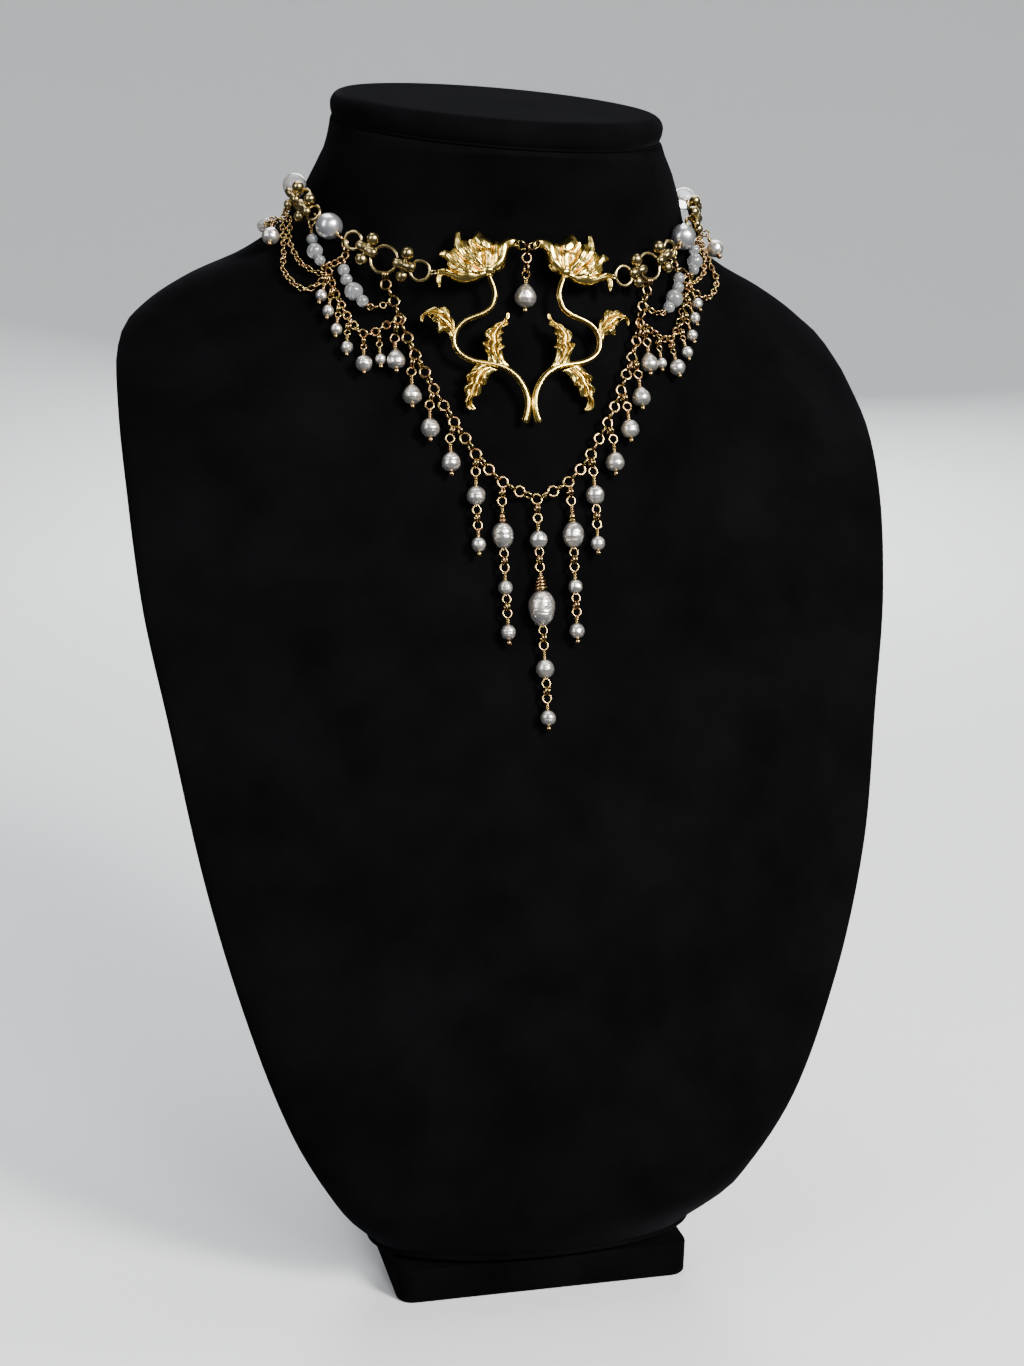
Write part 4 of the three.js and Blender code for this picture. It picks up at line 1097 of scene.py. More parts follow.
def make_neck_cap():
    """A padded disc on the neck, with a corded seam under its rim."""
    edge, thickness = CAP["edge"], CAP["thickness"]
    rows = [cap_row(inset, rise - thickness) for inset, rise in CAP_UNDERSIDE] + [cap_row(0, -edge)]
    for k in range(1, 7):
        a = math.pi / 2 * k / 6
        rows.append(cap_row(edge * (1 - math.cos(a)), -edge + edge * math.sin(a)))
    rows += [cap_row(inset, z) for inset, z in CAP_TOP]
    piece = Piece().add(loft(rows), cap_placing())
    welt = cap_row(WELT["inset"], WELT["rise"] - thickness)
    piece.add(tube_shape(welt, WELT["radius"], cyclic=True), cap_placing())
    piece.finish("bust_neck_cap_velvet", velvet(), "black_velvet", "bust_neck_cap")


def make_foot():
    """The flat foot, velvet folded over a board."""
    low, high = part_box("bust_foot")
    bm = bmesh.new()
    bmesh.ops.create_cube(bm, size=1)
    size = (high - low) / MM
    middle = (high + low) / (2 * MM)
    bmesh.ops.scale(bm, vec=size, verts=bm.verts)
    bmesh.ops.translate(bm, vec=middle, verts=bm.verts)
    upright = [e for e in bm.edges if abs(e.verts[0].co.z - e.verts[1].co.z) > 1]
    bmesh.ops.bevel(bm, geom=upright, offset=FOOT_CORNER, segments=6, profile=0.5, affect="EDGES",
                    material=-1)
    level = [e for e in bm.edges if abs(e.verts[0].co.z - e.verts[1].co.z) < 1e-3
             and abs(e.calc_face_angle(0)) > 1]
    bmesh.ops.bevel(bm, geom=level, offset=FOOT_EDGE, segments=3, profile=0.5, affect="EDGES",
                    material=-1)
    piece = Piece().add(mesh_of(bm))
    piece.finish("bust_foot_velvet", velvet(), "black_velvet", "bust_foot")


# ---- the flowers --------------------------------------------------------------------------------
def on_plane(u, v, height=0.0):
    """The place of a point of the stamping, at a height over its plane."""
    return PLANE_PLACE + PLANE_ACROSS * u + PLANE_RISING * v + PLANE_FACING * height


def blade_shape(spec, rows, columns, hole):
    """A pillow between two edges: a petal with its groove, crease and crumples, or a leaf with its lobes."""
    inner, outer, (low, mid, high), groove, kind = spec
    inner = smooth_path([(*p, 0) for p in inner], rows + 1)
    outer = smooth_path([(*p, 0) for p in outer], rows + 1)
    middle = [a.lerp(b, 0.5) for a, b in zip(inner, outer)]
    for _ in range(10):
        middle = [middle[0]] + [(middle[i - 1] + middle[i] * 2 + middle[i + 1]) / 4
                                for i in range(1, rows)] + [middle[-1]]
    lobes = [lobe_heights(edge, middle) for edge in (inner, outer)]
    bm = bmesh.new()
    bmesh.ops.create_grid(bm, x_segments=columns, y_segments=rows, size=0.5)
    for v in bm.verts:
        s = v.co.x * 2
        row = round((v.co.y + 0.5) * rows)
        t = row / rows
        flat = middle[row].lerp(inner[row] if s < 0 else outer[row], abs(s))
        top = low * (1 - t) * (1 - 2 * t) + 4 * mid * t * (1 - t) + high * t * (2 * t - 1)
        fade = min(1, t * 8, (1 - t) * 5)
        reach = abs(s)
        if kind == LEAF:
            ahead = min(rows, row + round(LOBE_SWEEP * rows * (1 - reach)))
            height = LEAF_SKIRT + (top - LEAF_SKIRT) * (1 - reach ** 3) ** 0.8
            height += fade * leaf_relief(reach, lobes[s > 0][ahead])
        else:
            height = SKIRT + (top - SKIRT) * (1 - reach ** 2.6) ** 0.6
            height -= groove * fade * bell(s, 0.1, 0.17)
            height -= kind * CREASE * fade * bell(s, -0.5, 0.13)
            height += CRUMPLE * fade * noise.noise(Vector((flat.x, flat.y, low * 7)) * 0.36)
        v.co = on_plane(flat.x, flat.y, max(height, 0.1))
    bmesh.ops.remove_doubles(bm, verts=bm.verts, dist=0.01)
    if hole:
        drill(bm, *hole)
    made = bmesh.ops.extrude_face_region(bm, geom=bm.faces[:], use_keep_orig=True)["geom"]
    under = [v for v in made if isinstance(v, bmesh.types.BMVert)]
    bmesh.ops.translate(bm, verts=under, vec=-PLANE_FACING * PLATE)
    bmesh.ops.recalc_face_normals(bm, faces=bm.faces)
    return mesh_of(bm)


def leaf_relief(reach, lobe):
    """Height across a leaf: a raised midrib, a groove beside it, and lobes that swell towards the edge."""
    rib = 0.3 * bell(reach, 0, 0.14)
    groove = 0.75 * bell(reach, 0.3, 0.11)
    swell = 0.6 * lobe * min(1.0, max(0.0, (reach - 0.18) / 0.35))
    return rib - groove + swell


def lobe_heights(edge, middle):
    """How far each row of an edge reaches past the rows round it, from -1 in a notch to 1 on a lobe."""
    reach = [(a - b).length for a, b in zip(edge, middle)]
    span = max(2, len(reach) // 8)
    made = []
    for i, value in enumerate(reach):
        near = reach[max(0, i - span):i + span + 1]
        made.append(value - sum(near) / len(near))
    made = [(a + b + c) / 3 for a, b, c in zip(made[:1] + made, made, made[1:] + made[-1:])]
    most = max(0.3, *(abs(value) for value in made))
    return [max(-1.0, min(1.0, 1.3 * value / most)) for value in made]


def drill(bm, u, v, radius):
    """Opens a round hole in a blade before it has thickness."""
    middle = on_plane(u, v)

    def flat(co):
        return (co - middle) - PLANE_FACING * (co - middle).dot(PLANE_FACING)

    gone = [f for f in bm.faces if flat(f.calc_center_median()).length < radius]
    rim = {w for f in gone for w in f.verts}
    bmesh.ops.delete(bm, geom=gone, context="FACES")
    for w in rim:
        if w.is_valid:
            away = flat(w.co)
            w.co += away.normalized() * radius - away


def stem_shape():
    """A round rib along the stem, between two thin flanges."""
    line = smooth_path([(*p, 0) for p in STEM_LINE], 90)
    rows = []
    for i, p in enumerate(line):
        along = (line[min(i + 1, len(line) - 1)] - line[max(i - 1, 0)]).normalized()
        side = Vector((along.y, -along.x, 0))
        t = i / (len(line) - 1)
        wide = 0.7 + 0.28 * t + 2.2 * max(0, t - 0.93)
        outline = [(-a, b) for a, b in STEM_HALF] + [(0, STEM_TOP)] + STEM_HALF[::-1] + [(0, 0.0)]
        outline = [(a * wide, b) for a, b in outline]
        rows.append([on_plane(p.x + side.x * a, p.y + side.y * a, b) for a, b in outline])
    return loft(rows)


def backing_shape():
    """The plate behind the petals."""
    bm = bmesh.new()
    outline = smooth_path([(*p, 0) for p in BACKING + BACKING[:1]], 60)[:-1]
    ring = bmesh.ops.create_circle(bm, cap_ends=True, segments=len(outline), radius=1)["verts"]
    for v, p in zip(ring, outline):
        v.co = on_plane(p.x, p.y, BACKING_THICKNESS)
    made = bmesh.ops.extrude_face_region(bm, geom=bm.faces[:])["geom"]
    lower = [v for v in made if isinstance(v, bmesh.types.BMVert)]
    bmesh.ops.translate(bm, verts=lower, vec=PLANE_FACING * -BACKING_THICKNESS)
    bmesh.ops.triangulate(bm, faces=bm.faces)
    bmesh.ops.recalc_face_normals(bm, faces=bm.faces)
    return mesh_of(bm)


def mark_painted_shade(mesh, side):
    """Stores how far each point of a side's flower is painted with shade, from 0 to 1: more in the hollows
    of its relief and where it lies low over its plane.
    """
    bm = bmesh.new()
    bm.from_mesh(mesh)
    bm.normal_update()
    values = []
    for v in bm.verts:
        near = [e.other_vert(v).co for e in v.link_edges]
        mean = sum(near, Vector()) / max(1, len(near))
        size = sum((c - v.co).length for c in near) / max(1, len(near))
        values.append((mean - v.co).dot(v.normal) / max(size, 1e-9))
    index = {v: i for i, v in enumerate(bm.verts)}
    for _ in range(3):
        values = [0.5 * values[i] + 0.5 * sum(values[index[e.other_vert(v)]] for e in v.link_edges)
                  / max(1, len(v.link_edges)) for i, v in enumerate(bm.verts)]
    # painted shade: dips in the relief and points low over the plane get more of it
    marks = []
    for value, v in zip(values, bm.verts):
        place = mirrored(v.co, side) / MM - PLANE_PLACE
        shallow = BLOOM_SHALLOW if place.dot(PLANE_RISING) > BLOOM_START else STEM_SHALLOW
        low = max(0.0, min(1.0, (shallow - place.dot(PLANE_FACING)) / shallow))
        marks.append(max(0.0, min(1.0, PAINTED_SHADE_GAIN * value + LOW_PAINTED_SHADE_SHARE * low)))
    bm.free()
    store = mesh.attributes.new("painted_hollow_shade", "FLOAT", "POINT")
    store.data.foreach_set("value", marks)


def make_flower(side_name):
    """The stamping of one side, built on the right and turned over for the left."""
    side = SIDES[side_name]
    piece = Piece()
    for name, spec in BLADES.items():
        rows, columns = LEAF_MESH if spec[-1] == LEAF or name in HOLES else PETAL_MESH
        piece.add(blade_shape(spec, rows, columns, HOLES.get(name)))
    piece.add(stem_shape())
    piece.add(backing_shape())
    # the round base of the bloom, and the collar where the stem leaves it
    base = turned(on_plane(*BLOOM_BASE["place"]), PLANE_FACING)
    piece.add(ball_shape(1.0, 20, 12), base @ Matrix.Diagonal((*BLOOM_BASE["half_sizes"], 1)))
    collar = turned(on_plane(*COLLAR["place"]), PLANE_RISING)
    piece.add(ring_shape(COLLAR["outer"], COLLAR["wire"], 18), collar)
    if side < 0:
        bmesh.ops.scale(piece.bm, vec=(-1, 1, 1), verts=piece.bm.verts)
    # the mark stored on the stamping is painted shade for its hollows and low places
    piece.finish(f"flower_{side_name}_stamping", gilt(), "gilt_brass", f"flower_{side_name}",
                 lambda mesh: mark_painted_shade(mesh, side))


# ---- the band -----------------------------------------------------------------------------------
def make_band(side_name):
    """The rings, bars and big beads of one side, from the flower round to the neck."""
    side = SIDES[side_name]
    brass = antique()
    rings = {}
    for name, (place, height, outer) in BAND_RINGS.items():
        p = seat(mirrored(place, side), height)
        rings[name] = p
        piece = Piece()
        put_ring(piece, p, outward(p), outer, WIRE, 36)
        if name == "ring_front":
            # the small ring that holds it to the flower's long sepal
            tip = mirrored(on_plane(*SEPAL_TIP), side)
            inner = p + Vector((-side * (outer - WIRE) / 2, -0.4, 0))
            put_ring(piece, tip.lerp(inner, 0.5), Vector((0.25 * side, -0.5, 1)), *SEPAL_RING)
        piece.finish(f"{name}_{side_name}_wire", brass, "antique_brass", f"{name}_{side_name}")
    for name, (place, height, ends, balls) in BAND_BARS.items():
        p = seat(mirrored(place, side), height)
        upper, lower = (mirrored(b, side) for b in balls)
        piece = Piece()
        add_bar(piece, p, rings[ends[1]] - rings[ends[0]], upper - lower)
        piece.finish(f"{name}_{side_name}_link", brass, "antique_brass", f"{name}_{side_name}")
    make_crowded(side_name, brass)
    make_wired_bead("pearl_big", side_name, BIG_PEARL, glass_pearl())
    make_wired_bead("pearl_rear", side_name, REAR_PEARL, clear_bead())


def add_bar(piece, place, along, across, scale=1.0):
    """Adds a bar folded round the rings at both its ends, with a ball above and below its middle."""
    along = along.normalized()
    across = (across - along * across.dot(along)).normalized()
    facing = along.cross(across)
    if facing.dot(outward(place)) < 0:
        facing = -facing
    reach = BAR_LENGTH * scale / 2
    thick = BAR_THICKNESS * scale / 2
    profile = [(0, -reach), (thick * 0.75, -reach + 0.3), (thick, -reach + 1.0), (thick * 1.02, -1.0),
               (thick * 0.78, -0.35), (thick * 0.78, 0.35), (thick * 1.02, 1.0), (thick, reach - 1.0),
               (thick * 0.75, reach - 0.3), (0, reach)]
    piece.add(mesh_of(spun(profile, 18)), turned(place, along, across))
    for sign in (1, -1):
        middle = place + across * (sign * BALL_SPREAD * scale) - facing * (0.5 * scale)
        put_ball(piece, middle, BALL_RADIUS * scale, 22, 14)
        piece.add(tube_shape([place, middle], 0.7 * scale, 2))


def make_crowded(side_name, brass):
    """The rings and bars behind the big pearl, in one piece."""
    side = SIDES[side_name]
    piece = Piece()
    places = []
    for place, outer in CROWDED["rings"]:
        p = seat(mirrored(place, side), CROWDED["height"])
        put_ring(piece, p, outward(p) + Vector((0, -0.2, 0.3)), outer, WIRE, 28)
        places.append(p)
    for place, upper, lower in CROWDED["bars"]:
        p = seat(mirrored(place, side), CROWDED["height"] + CROWDED["bar_rise"])
        across = mirrored(upper, side) - mirrored(lower, side)
        add_bar(piece, p, places[1] - places[0], across, CROWDED["scale"])
    piece.finish(f"band_rear_{side_name}_links", brass, "antique_brass", f"band_rear_{side_name}")


def make_wired_bead(name, side_name, spec, material):
    """A round bead on a wire that ends in a wrapped eye each way."""
    side = SIDES[side_name]
    place = mirrored(spec["place"], side)
    axis = mirrored(spec["wire"], side).normalized()
    radius = spec["radius"]
    bead = Piece().add(pearl_shape(radius, radius, 0, 0, 3, 36, 24), turned(place, axis))
    bead.finish(f"{name}_{side_name}_bead", material, "glass_pearl", f"{name}_{side_name}")
    wires = Piece()
    for sign in (1, -1):
        end = place + axis * (sign * (radius + 0.3))
        wires.add(coil_shape(*BEAD_WRAP), turned(end, axis))
        eye = place + axis * (sign * (radius + 1.9))
        put_ring(wires, eye, axis.cross(outward(eye)), *BEAD_EYE, 16)
    wires.add(tube_shape([place - axis * (radius + 0.9), place + axis * (radius + 0.9)], 0.3, 2))
    wires.finish(f"{name}_{side_name}_wire", chain_gold(), "gilt_brass", f"{name}_{side_name}")


# ---- the chains and what they carry -------------------------------------------------------------
def main_link_places(side):
    """Flat links as given, with a link on edge between each two."""
    flats = [mirrored(p, side) for p in MAIN_LINKS]
    places = []
    for a, b in zip(flats, flats[1:]):
        places += [a, a.lerp(b, 0.5)]
    return places + [flats[-1]]


def make_main_chain(side_name):
    """The two pieces of the main chain. The lowest link of all belongs to the right one."""
    side = SIDES[side_name]
    places = main_link_places(side)
    cut = 2 * MAIN_UPPER_COUNT
    upper = Piece()
    lay_chain(upper, places[:cut], MAIN_LINK, 11 + side, around=20)
    # three close rings that hold the chain on the large ring
    top = mirrored(HANGING_RINGS["place"], side)
    for shift in HANGING_RINGS["shifts"]:
        axis = Vector((1, 0.25 * side, 0.12 * shift)).normalized()
        put_ring(upper, top + axis * shift, axis, *HANGING_RINGS["size"])
    upper.finish(f"main_chain_upper_{side_name}_links", chain_gold(), "gilt_brass",
                 f"main_chain_upper_{side_name}")
    lower = Piece()
    rest = places[cut:] if side > 0 else places[cut:-1]
    lay_chain(lower, rest, MAIN_LINK, 23 + side, around=20)
    lower.finish(f"main_chain_lower_{side_name}_links", chain_gold(), "gilt_brass",
                 f"main_chain_lower_{side_name}")


def head_pin(wires, pearls, hook, bead, size, seed, tip, edge_rings):
    """A bead on a head pin under an eye, hung from a place by small rings.

    The size is the bead's half width, half height and taper.
    """
    axis = (hook - bead).normalized()
    out = outward(hook)
    half_height = size[1]
    top = bead + axis * half_height
    eye = top + axis * min(PIN_RISE, (hook - top).length * 0.7)
    wires.add(eye_shape(*PIN_EYE, 0.5), turned(eye, axis, out.cross(axis)))
    wires.add(tube_shape([bead - axis * (half_height + 0.3), eye - axis * 0.9], PIN_WIRE, 1))
    wrap = max(0.8, (eye - top).length - 1.2)
    wires.add(coil_shape(*PIN_WRAP, wrap / PIN_WRAP[1], wrap), turned(top + axis * (0.1 + wrap / 2), axis))
    span = (hook - eye).length
    if span > 1.2:
        across = out.cross(axis).normalized()
        outer = min(2.7, max(2.3, span + 0.9))
        for k in range(edge_rings):
            shift = (k - (edge_rings - 1) / 2) * 0.62
            put_ring(wires, eye.lerp(hook, 0.55) + across * shift, across, outer, 0.56, 16)
    put_ball(wires, bead - axis * (half_height + tip * 0.85), tip, 14, 8)
    pearls.add(pearl_shape(*size, 2, seed), turned(bead, axis))


def make_festoon(side_name):
    """The swag with its small drops."""
    side = SIDES[side_name]
    links, beads = Piece(), Piece()
    route = [mirrored(p, side) for p in FESTOON_ROUTE]
    lay_chain(links, chain_places(route, FESTOON_PITCH), FESTOON_LINK, 31 + side, stretch=1.12, lean=0.35)
    for i, (hook, bead, radius) in enumerate(FESTOON_DROPS):
        bead_at = seat(mirrored(bead, side), radius + 0.45)
        head_pin(links, beads, mirrored(hook, side), bead_at, (radius, radius, 0), 40 + i + side, 0.72, 2)
    beads.finish(f"festoon_{side_name}_pearls", freshwater(), "freshwater_pearl", f"festoon_{side_name}")
    links.finish(f"festoon_{side_name}_links", chain_gold(), "gilt_brass", f"festoon_{side_name}")


def make_thin_chains(side_name):
    """The two fine chains on the shoulder."""
    side = SIDES[side_name]
    thin = Piece()
    for i, points in enumerate(THIN_ROUTES):
        places = chain_places([mirrored(p, side) for p in points], THIN_PITCH)
        lay_chain(thin, places, THIN_LINK, 51 + i + side, stretch=1.25, lean=math.pi / 4)
    thin.finish(f"thin_chains_{side_name}_links", chain_gold(), "gilt_brass", f"thin_chains_{side_name}")


def make_strand(name, side_name):
    """Milky beads on a wire, an eye above them and a gold bead and links below."""
    side = SIDES[side_name]
    row = STRANDS[name]
    places = [seat(mirrored(p, side), STRAND_HEIGHT) for p, _ in row]
    beads = Piece()
    for i, (place, (_, radius)) in enumerate(zip(places, row)):
        along = places[min(i + 1, len(places) - 1)] - places[max(i - 1, 0)]
        beads.add(pearl_shape(radius, radius * 0.98, 0, 0, 60 + i, 26, 18), turned(place, along))
    beads.finish(f"{name}_{side_name}_beads", milky_glass(), "glass_pearl", f"{name}_{side_name}")
    head, rings, tail = STRAND_ENDS[name]
    wires = Piece()
    head = mirrored(head, side)
    tail = [mirrored(p, side) for p in tail]
    wires.add(tube_shape([head] + places + [tail[0]], STRAND_WIRE, 2))
    rise = (head - places[0]).normalized()
    wires.add(coil_shape(*STRAND_WRAP), turned(places[0] + rise * (row[0][1] + 0.4), rise))
    put_ring(wires, head, rise.cross(outward(head)), *STRAND_EYE, 16)
    for ring in rings:
        put_ring(wires, mirrored(ring, side), outward(head), *STRAND_RING, 16)
    fall = (tail[0] - places[-1]).normalized()
    put_ball(wires, places[-1] + fall * (row[-1][1] + 0.3), STRAND_BALL, 12, 8)
    lay_chain(wires, tail, STRAND_LINK, 70 + side, lean=0.3)
    wires.finish(f"{name}_{side_name}_wire", chain_gold(), "gilt_brass", f"{name}_{side_name}")


def make_side_drop(side_name):
    """The pearl that hangs beside the rear of the band."""
    side = SIDES[side_name]
    wires, beads = Piece(), Piece()
    hook, pearl = (mirrored(SIDE_DROP[key], side) for key in ("hook", "pearl"))
    radius = SIDE_DROP["radius"]
    head_pin(wires, beads, hook, pearl, (radius, radius, 0.02), 81 + side, 0.9, 1)
    beads.finish(f"drop_side_{side_name}_pearl", freshwater(), "freshwater_pearl", f"drop_side_{side_name}")
    wires.finish(f"drop_side_{side_name}_wire", chain_gold(), "gilt_brass", f"drop_side_{side_name}")


def make_short_drop(name, side_name):
    """A drop of one pearl, its wrap and tip placed from the pearl."""
    (rings, eye, pearl), (half_width, half_height), taper = SHORT_DROPS[name]
    axis = (Vector(eye) - Vector(pearl)).normalized() * (half_height + PIN_GAP)
    make_drop(name, side_name, [
        ("rings", rings), ("eye", eye), ("wrap", Vector(pearl) + axis),
        ("pearl", Vector(pearl), half_width, half_height, taper), ("tip", Vector(pearl) - axis)])


def make_drop(name, side_name, parts):
    """A drop from its parts in order from the top."""
    side = SIDES.get(side_name, 1)
    label = f"{name}_{side_name}" if side_name else name
    seed = sum(ord(c) for c in label)
    wires, pearls = Piece(), Piece()
    places = [mirrored(part[1], side) for part in parts]
    out = outward(places[0])
    for i, (part, place) in enumerate(zip(parts, places)):
        axis = (places[max(0, i - 1)] - places[min(len(places) - 1, i + 1)]).normalized()
        across = axis.cross(out).normalized()
        if part[0] == "wrap":
            # tight turns from the eye above to the bead or pearl below
            top = places[i - 1] - axis * 1.5
            below = 1.1 if parts[i + 1][0] == "bead" else parts[i + 1][3]
            bottom = places[i + 1] + axis * below
            length = max(0.9, (top - bottom).length)
            turns = length / DROP_WRAP[1]
            wires.add(coil_shape(*DROP_WRAP, turns, length), turned((top + bottom) / 2, axis))
        elif part[0] == "pearl":
            half_width, half_height, taper = part[2:]
            grooves = 4 if half_height > STEADY_PEARL else 2
            pearls.add(pearl_shape(half_width, half_height, taper, grooves, seed + i), turned(place, axis))
            above = next(places[k] for k in range(i - 1, -1, -1) if parts[k][0] == "eye")
            pin = [place - axis * (half_height + 0.3), above - (above - place).normalized() * 1.2]
            wires.add(tube_shape(pin, DROP_PIN, 1))
        else:
            add_fitting(wires, part[0], place, axis, across)
    pearls.finish(f"{label}_pearls", freshwater(), "freshwater_pearl", label)
    wires.finish(f"{label}_wire", chain_gold(), "gilt_brass", label)


def add_fitting(wires, kind, place, axis, across):
    """Adds one of a drop's metal fittings that stands alone."""
    if kind == "rings":
        for shift in (-RING_SPREAD, RING_SPREAD):
            put_ring(wires, place + across * shift, across, *DROP_RING)
    elif kind == "eye":
        wires.add(eye_shape(*DROP_EYE, 0.3), turned(place, axis, across))
    elif kind == "eye_below":
        wires.add(eye_shape(*DROP_EYE_BELOW, 0.4, 0.5), turned(place, -axis, across))
    elif kind == "cone":
        wires.add(coil_shape(*CONE["coil"]), turned(place + axis * CONE["rise"], axis, -FORWARD))
        wires.add(coil_shape(*CONE["neck"]), turned(place + axis * CONE["neck_rise"], axis, -FORWARD))
    elif kind == "bead":
        put_ball(wires, place, DROP_BEAD, 14, 10)
        put_ring(wires, place - axis * 1.1, axis, *BEAD_RING, 16)
    elif kind == "tip":
        put_ball(wires, place, DROP_TIP, 14, 10)


def make_back(side_name):
    """The chains round the back of the neck, with two clear beads in the lower one."""
    side = SIDES[side_name]
    radius = BACK["bead_radius"]
    bead_places = [mirrored(p, side) for p in BACK["beads"]]
    links, beads = Piece(), Piece()
    for key in ("upper", "lower"):
        places = chain_places([mirrored(p, side) for p in BACK[key]], BACK["pitch"], BACK["height"])
        if key == "lower":
            places = [p for p in places if all((p - bead).length > radius for bead in bead_places)]
        lay_chain(links, places, BACK_LINK, 91 + side, stretch=1.15, lean=math.pi / 4, around=12)
    axis = bead_places[1] - bead_places[0]
    for place, end in zip(bead_places, (-1, 1)):
        p = seat(place, radius + 0.5)
        beads.add(pearl_shape(radius, radius, 0, 0, 5, 24, 16), turned(p, axis))
        coil_at = p + axis.normalized() * (radius + 0.1) * end
        links.add(coil_shape(*BACK["wrap"]), turned(coil_at, axis))
    beads.finish(f"back_chain_{side_name}_beads", clear_bead(), "glass_pearl", f"back_chain_{side_name}")
    links.finish(f"back_chain_{side_name}_links", chain_gold(), "gilt_brass", f"back_chain_{side_name}")


def make_clasp():
    """A plain barrel clasp with an eye at each end."""
    half, radius = CLASP["length"] / 2, CLASP["radius"]
    profile = [(0, -half), (0.9, -half), (1.2, -half + 0.5), (radius, -half + 1.3), (radius, -0.5),
               (radius * 0.86, -0.3), (radius * 0.86, 0.3), (radius, 0.5), (radius, half - 1.3),
               (1.2, half - 0.5), (0.9, half), (0, half)]
    middle = Vector((0, CLASP["y"], CLASP["z"]))
    piece = Piece().add(mesh_of(spun(profile, 24)), turned(middle, (1, 0, 0), UP))
    for sign in (1, -1):
        put_ring(piece, middle + Vector((sign * (half + 0.5), 0, 0)), UP, *CLASP["eye"], 16)
    piece.finish("clasp_barrel", chain_gold(), "gilt_brass", "clasp")


def make_centre():
    """The rings that join the two flowers, and the teardrop pearl under them."""
    links = Piece()
    y = CENTRE["y"]
    join = Vector((0, y - 0.2, CENTRE["rings"][0] - 0.3))
    for side in SIDES.values():
        hole = mirrored(on_plane(*HOLES["hook_petal"][:2], 1.2), side)
        axis = (join - hole).cross(FORWARD).normalized() + Vector((0, -0.9, 0.2))
        put_ring(links, hole.lerp(join, 0.4), axis.normalized(), *CENTRE["hook_ring"], 22)
    for i, z in enumerate(CENTRE["rings"]):
        axis = Vector((1, 0.2, 0)) if i % 2 == 0 else Vector((0.15, -1, 0.15))
        put_ring(links, Vector((0, y, z)), axis, *CENTRE["ring"], 20)
    links.finish("centre_links_rings", chain_gold(), "gilt_brass", "centre_links")
    pearls, wires = Piece(), Piece()
    pearl = Vector(CENTRE["pearl"])
    pearls.add(pearl_shape(*CENTRE["pearl_size"], 3, 7, 40, 32), Matrix.Translation(pearl))
    eye = Vector((0, y, CENTRE["eye"]))
    wires.add(eye_shape(*CENTRE["eye_size"], 0.3), turned(eye, UP, (1, 0, 0)))
    wires.add(coil_shape(*CENTRE["wrap"]), Matrix.Translation(pearl + UP * CENTRE["wrap_rise"]))
    wires.add(tube_shape([pearl + UP * rise for rise in CENTRE["pin"]], CENTRE["pin_radius"], 2))
    put_ball(wires, pearl + UP * CENTRE["tip_rise"], CENTRE["tip"], 16, 10)
    pearls.finish("centre_pearl_teardrop", freshwater(), "freshwater_pearl", "centre_pearl")
    wires.finish("centre_pearl_wire", chain_gold(), "gilt_brass", "centre_pearl")


# ---- the stage ----------------------------------------------------------------------------------
CAMERA = {
    "place": (-156.68, -572.57, 309.72), "yaw": 0.26222, "pitch": 0.22262, "roll": 0.030575,
    "lens": 52.72,
}
AIR_COLOUR = (0.80, 0.84, 0.88, 1)
AIR_LIGHT = 0.1
AIR_SEEN = 0.88
# in metres
FLOOR_RADIUS = 2.6
FLOOR_RISE = 1.3
FLOOR_TURN = 0.86  # how much of a quarter turn the floor curves up
# place, where it looks, size across and up in metres, share of the key light's power, and colour
LIGHTS = {
    "key_window": ((0.62, -0.95, 0.9), (0, 0, 0.27), (0.34, 0.44), 5.2, (1.0, 0.985, 0.96)),
    "front_window": ((0.1, -1.1, 0.85), (0, 0, 0.27), (0.3, 0.4), 0.9, (1.0, 0.99, 0.97)),
    "fill_window": ((-0.95, -0.5, 0.75), (0, 0, 0.25), (0.35, 0.8), 0.8, (0.94, 0.97, 1.0)),
    "top_panel": ((0, 0.5, 1.9), (0, 0.2, 0), (1.6, 1.2), 3.4, (0.97, 0.98, 1.0)),
    "rear_panel": ((0.5, 1.5, 0.8), (0, 0.05, 0.2), (0.9, 0.9), 4.0, (0.98, 0.99, 1.0)),
}


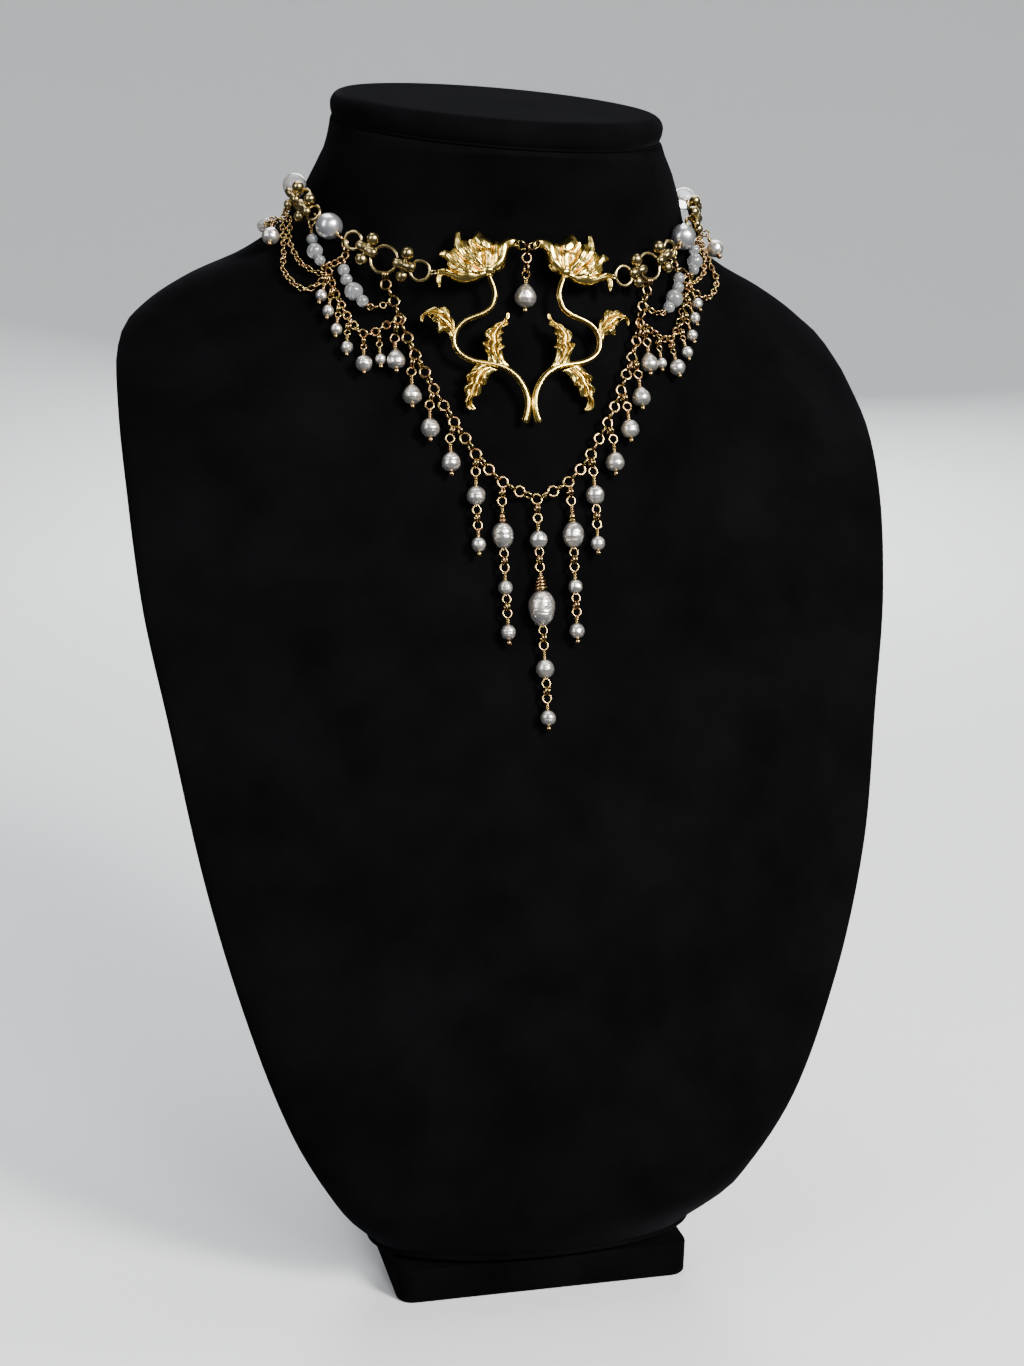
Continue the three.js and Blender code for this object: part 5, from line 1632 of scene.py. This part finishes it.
def make_stage():
    """A pale floor that curves up into the backdrop, soft lights, the air and the camera."""
    settings = bpy.context.scene.choker_stage
    flat = FLOOR_RADIUS - FLOOR_RISE
    profile = [(0, 0), (0.4, 0), (0.9, 0), (flat, 0)]
    for k in range(1, 13):
        a = math.pi / 2 * k / 12 * FLOOR_TURN
        profile.append((flat + FLOOR_RISE * math.sin(a), FLOOR_RISE * (1 - math.cos(a))))
    bm = spun(profile, 72)
    if sum(f.normal.z for f in bm.faces) < 0:
        bmesh.ops.reverse_faces(bm, faces=bm.faces)
    for face in bm.faces:
        face.smooth = True
    floor = bpy.data.objects.new("studio_floor", mesh_of(bm, "studio_floor"))
    bpy.context.scene.collection.objects.link(floor)
    material, tree, shader = new_material("studio_floor", Roughness=0.9, Specular_IOR_Level=0.2)
    if tree:
        tinted(tree, shader, 3.0, 0.5, shade(settings.floor, 0.97), shade(settings.floor, 1.03))
    floor.data.materials.append(material)
    floor.visible_glossy = False
    for name, (place, target, size, share, colour) in LIGHTS.items():
        light = bpy.data.lights.new(name, "AREA")
        light.shape = "RECTANGLE"
        light.size, light.size_y = size
        light.energy = settings.key * share
        light.color = colour
        lamp = bpy.data.objects.new(name, light)
        aim = Vector(target) - Vector(place)
        lamp.rotation_euler = aim.to_track_quat("-Z", "Y").to_euler()
        lamp.location = place
        bpy.context.scene.collection.objects.link(lamp)
    world = bpy.data.worlds.new("studio_air")
    world.use_nodes = True
    tree = world.node_tree
    air = tree.nodes["Background"]
    air.inputs["Color"].default_value = AIR_COLOUR
    # the air looks pale but lights the scene only a little
    seen = node(tree, "ShaderNodeLightPath")
    power = node(tree, "ShaderNodeMapRange")
    power.inputs["To Min"].default_value, power.inputs["To Max"].default_value = AIR_LIGHT, AIR_SEEN
    tree.links.new(seen.outputs["Is Camera Ray"], power.inputs["Value"])
    tree.links.new(power.outputs["Result"], air.inputs["Strength"])
    bpy.context.scene.world = world
    make_camera()


def make_camera():
    """A camera that looks along its yaw and down its pitch, and is rolled about that line."""
    lens = bpy.data.cameras.new("front_camera")
    lens.lens = CAMERA["lens"]
    lens.sensor_width = 36
    lens.sensor_fit = "AUTO"
    lens.clip_start = 0.01
    yaw, pitch, roll = CAMERA["yaw"], CAMERA["pitch"], CAMERA["roll"]
    forward = Vector((math.sin(yaw) * math.cos(pitch), math.cos(yaw) * math.cos(pitch), -math.sin(pitch)))
    level = Vector((math.cos(yaw), -math.sin(yaw), 0))
    rise = level.cross(forward)
    right = level * math.cos(roll) + rise * math.sin(roll)
    up = rise * math.cos(roll) - level * math.sin(roll)
    camera = bpy.data.objects.new("front_camera", lens)
    placing = Matrix((right, up, -forward)).transposed().to_4x4()
    placing.translation = Vector(CAMERA["place"]) * MM
    camera.matrix_world = placing
    bpy.context.scene.collection.objects.link(camera)
    bpy.context.scene.camera = camera


# ---- operators and the panel --------------------------------------------------------------------
class CHOKER_OT_bust(bpy.types.Operator):
    """Build the velvet bust: its body, neck cap and foot"""
    bl_idname = "choker.bust"
    bl_label = "Velvet bust"

    def execute(self, context):
        make_bust_body()
        make_neck_cap()
        make_foot()
        return {"FINISHED"}


class CHOKER_OT_flowers(bpy.types.Operator):
    """Build the two gilt flower stampings"""
    bl_idname = "choker.flowers"
    bl_label = "Flowers"

    def execute(self, context):
        for side_name in SIDES:
            make_flower(side_name)
        return {"FINISHED"}


class CHOKER_OT_centre(bpy.types.Operator):
    """Build the rings between the flowers and their teardrop pearl"""
    bl_idname = "choker.centre"
    bl_label = "Centre pearl"

    def execute(self, context):
        make_centre()
        return {"FINISHED"}


class CHOKER_OT_band(bpy.types.Operator):
    """Build the band of round links, bars with balls and wired pearls"""
    bl_idname = "choker.band"
    bl_label = "Band"

    def execute(self, context):
        for side_name in SIDES:
            make_band(side_name)
        return {"FINISHED"}


class CHOKER_OT_chains(bpy.types.Operator):
    """Build the main chain, the festoons, the bead strands and the chains behind the neck"""
    bl_idname = "choker.chains"
    bl_label = "Chains"

    def execute(self, context):
        for side_name in SIDES:
            make_main_chain(side_name)
            make_festoon(side_name)
            make_thin_chains(side_name)
            for name in STRANDS:
                make_strand(name, side_name)
            make_back(side_name)
        make_clasp()
        return {"FINISHED"}


class CHOKER_OT_drops(bpy.types.Operator):
    """Build the pearl drops"""
    bl_idname = "choker.drops"
    bl_label = "Drops"

    def execute(self, context):
        for side_name in SIDES:
            make_side_drop(side_name)
            for name in SHORT_DROPS:
                make_short_drop(name, side_name)
            for name in ("drop_5", "drop_6"):
                make_drop(name, side_name, LONG_DROPS[name])
        make_drop("drop_centre", "", LONG_DROPS["drop_centre"])
        return {"FINISHED"}


class CHOKER_OT_stage(bpy.types.Operator):
    """Build the floor, the lights and the camera"""
    bl_idname = "choker.stage"
    bl_label = "Studio"

    def execute(self, context):
        make_stage()
        return {"FINISHED"}


OPERATORS = (CHOKER_OT_bust, CHOKER_OT_flowers, CHOKER_OT_centre, CHOKER_OT_band, CHOKER_OT_chains,
             CHOKER_OT_drops, CHOKER_OT_stage)
SETTINGS = {"choker_bust": ChokerBust, "choker_metal": ChokerMetal, "choker_pearl": ChokerPearl,
            "choker_stage": ChokerStage}


class CHOKER_PT_panel(bpy.types.Panel):
    """The choker's settings and the steps that build it"""
    bl_idname = "CHOKER_PT_panel"
    bl_label = "Choker"
    bl_space_type = "VIEW_3D"
    bl_region_type = "UI"
    bl_category = "Choker"

    def draw(self, context):
        for name, group in SETTINGS.items():
            box = self.layout.box()
            for key in group.__annotations__:
                box.prop(getattr(context.scene, name), key)
        for operator in OPERATORS:
            self.layout.operator(operator.bl_idname)


def register():
    for name, group in SETTINGS.items():
        bpy.utils.register_class(group)
        setattr(bpy.types.Scene, name, bpy.props.PointerProperty(type=group))
    for made in (*OPERATORS, CHOKER_PT_panel):
        bpy.utils.register_class(made)


def unregister():
    for made in reversed((*OPERATORS, CHOKER_PT_panel)):
        bpy.utils.unregister_class(made)
    for name, group in SETTINGS.items():
        delattr(bpy.types.Scene, name)
        bpy.utils.unregister_class(group)


def main():
    register()
    for step in (bpy.ops.choker.stage, bpy.ops.choker.bust, bpy.ops.choker.flowers, bpy.ops.choker.centre,
                 bpy.ops.choker.band, bpy.ops.choker.chains, bpy.ops.choker.drops):
        step()
    for shape in SHAPES.values():
        bpy.data.meshes.remove(shape)
    bpy.context.view_layer.update()


if __name__ == "__main__":
    main()
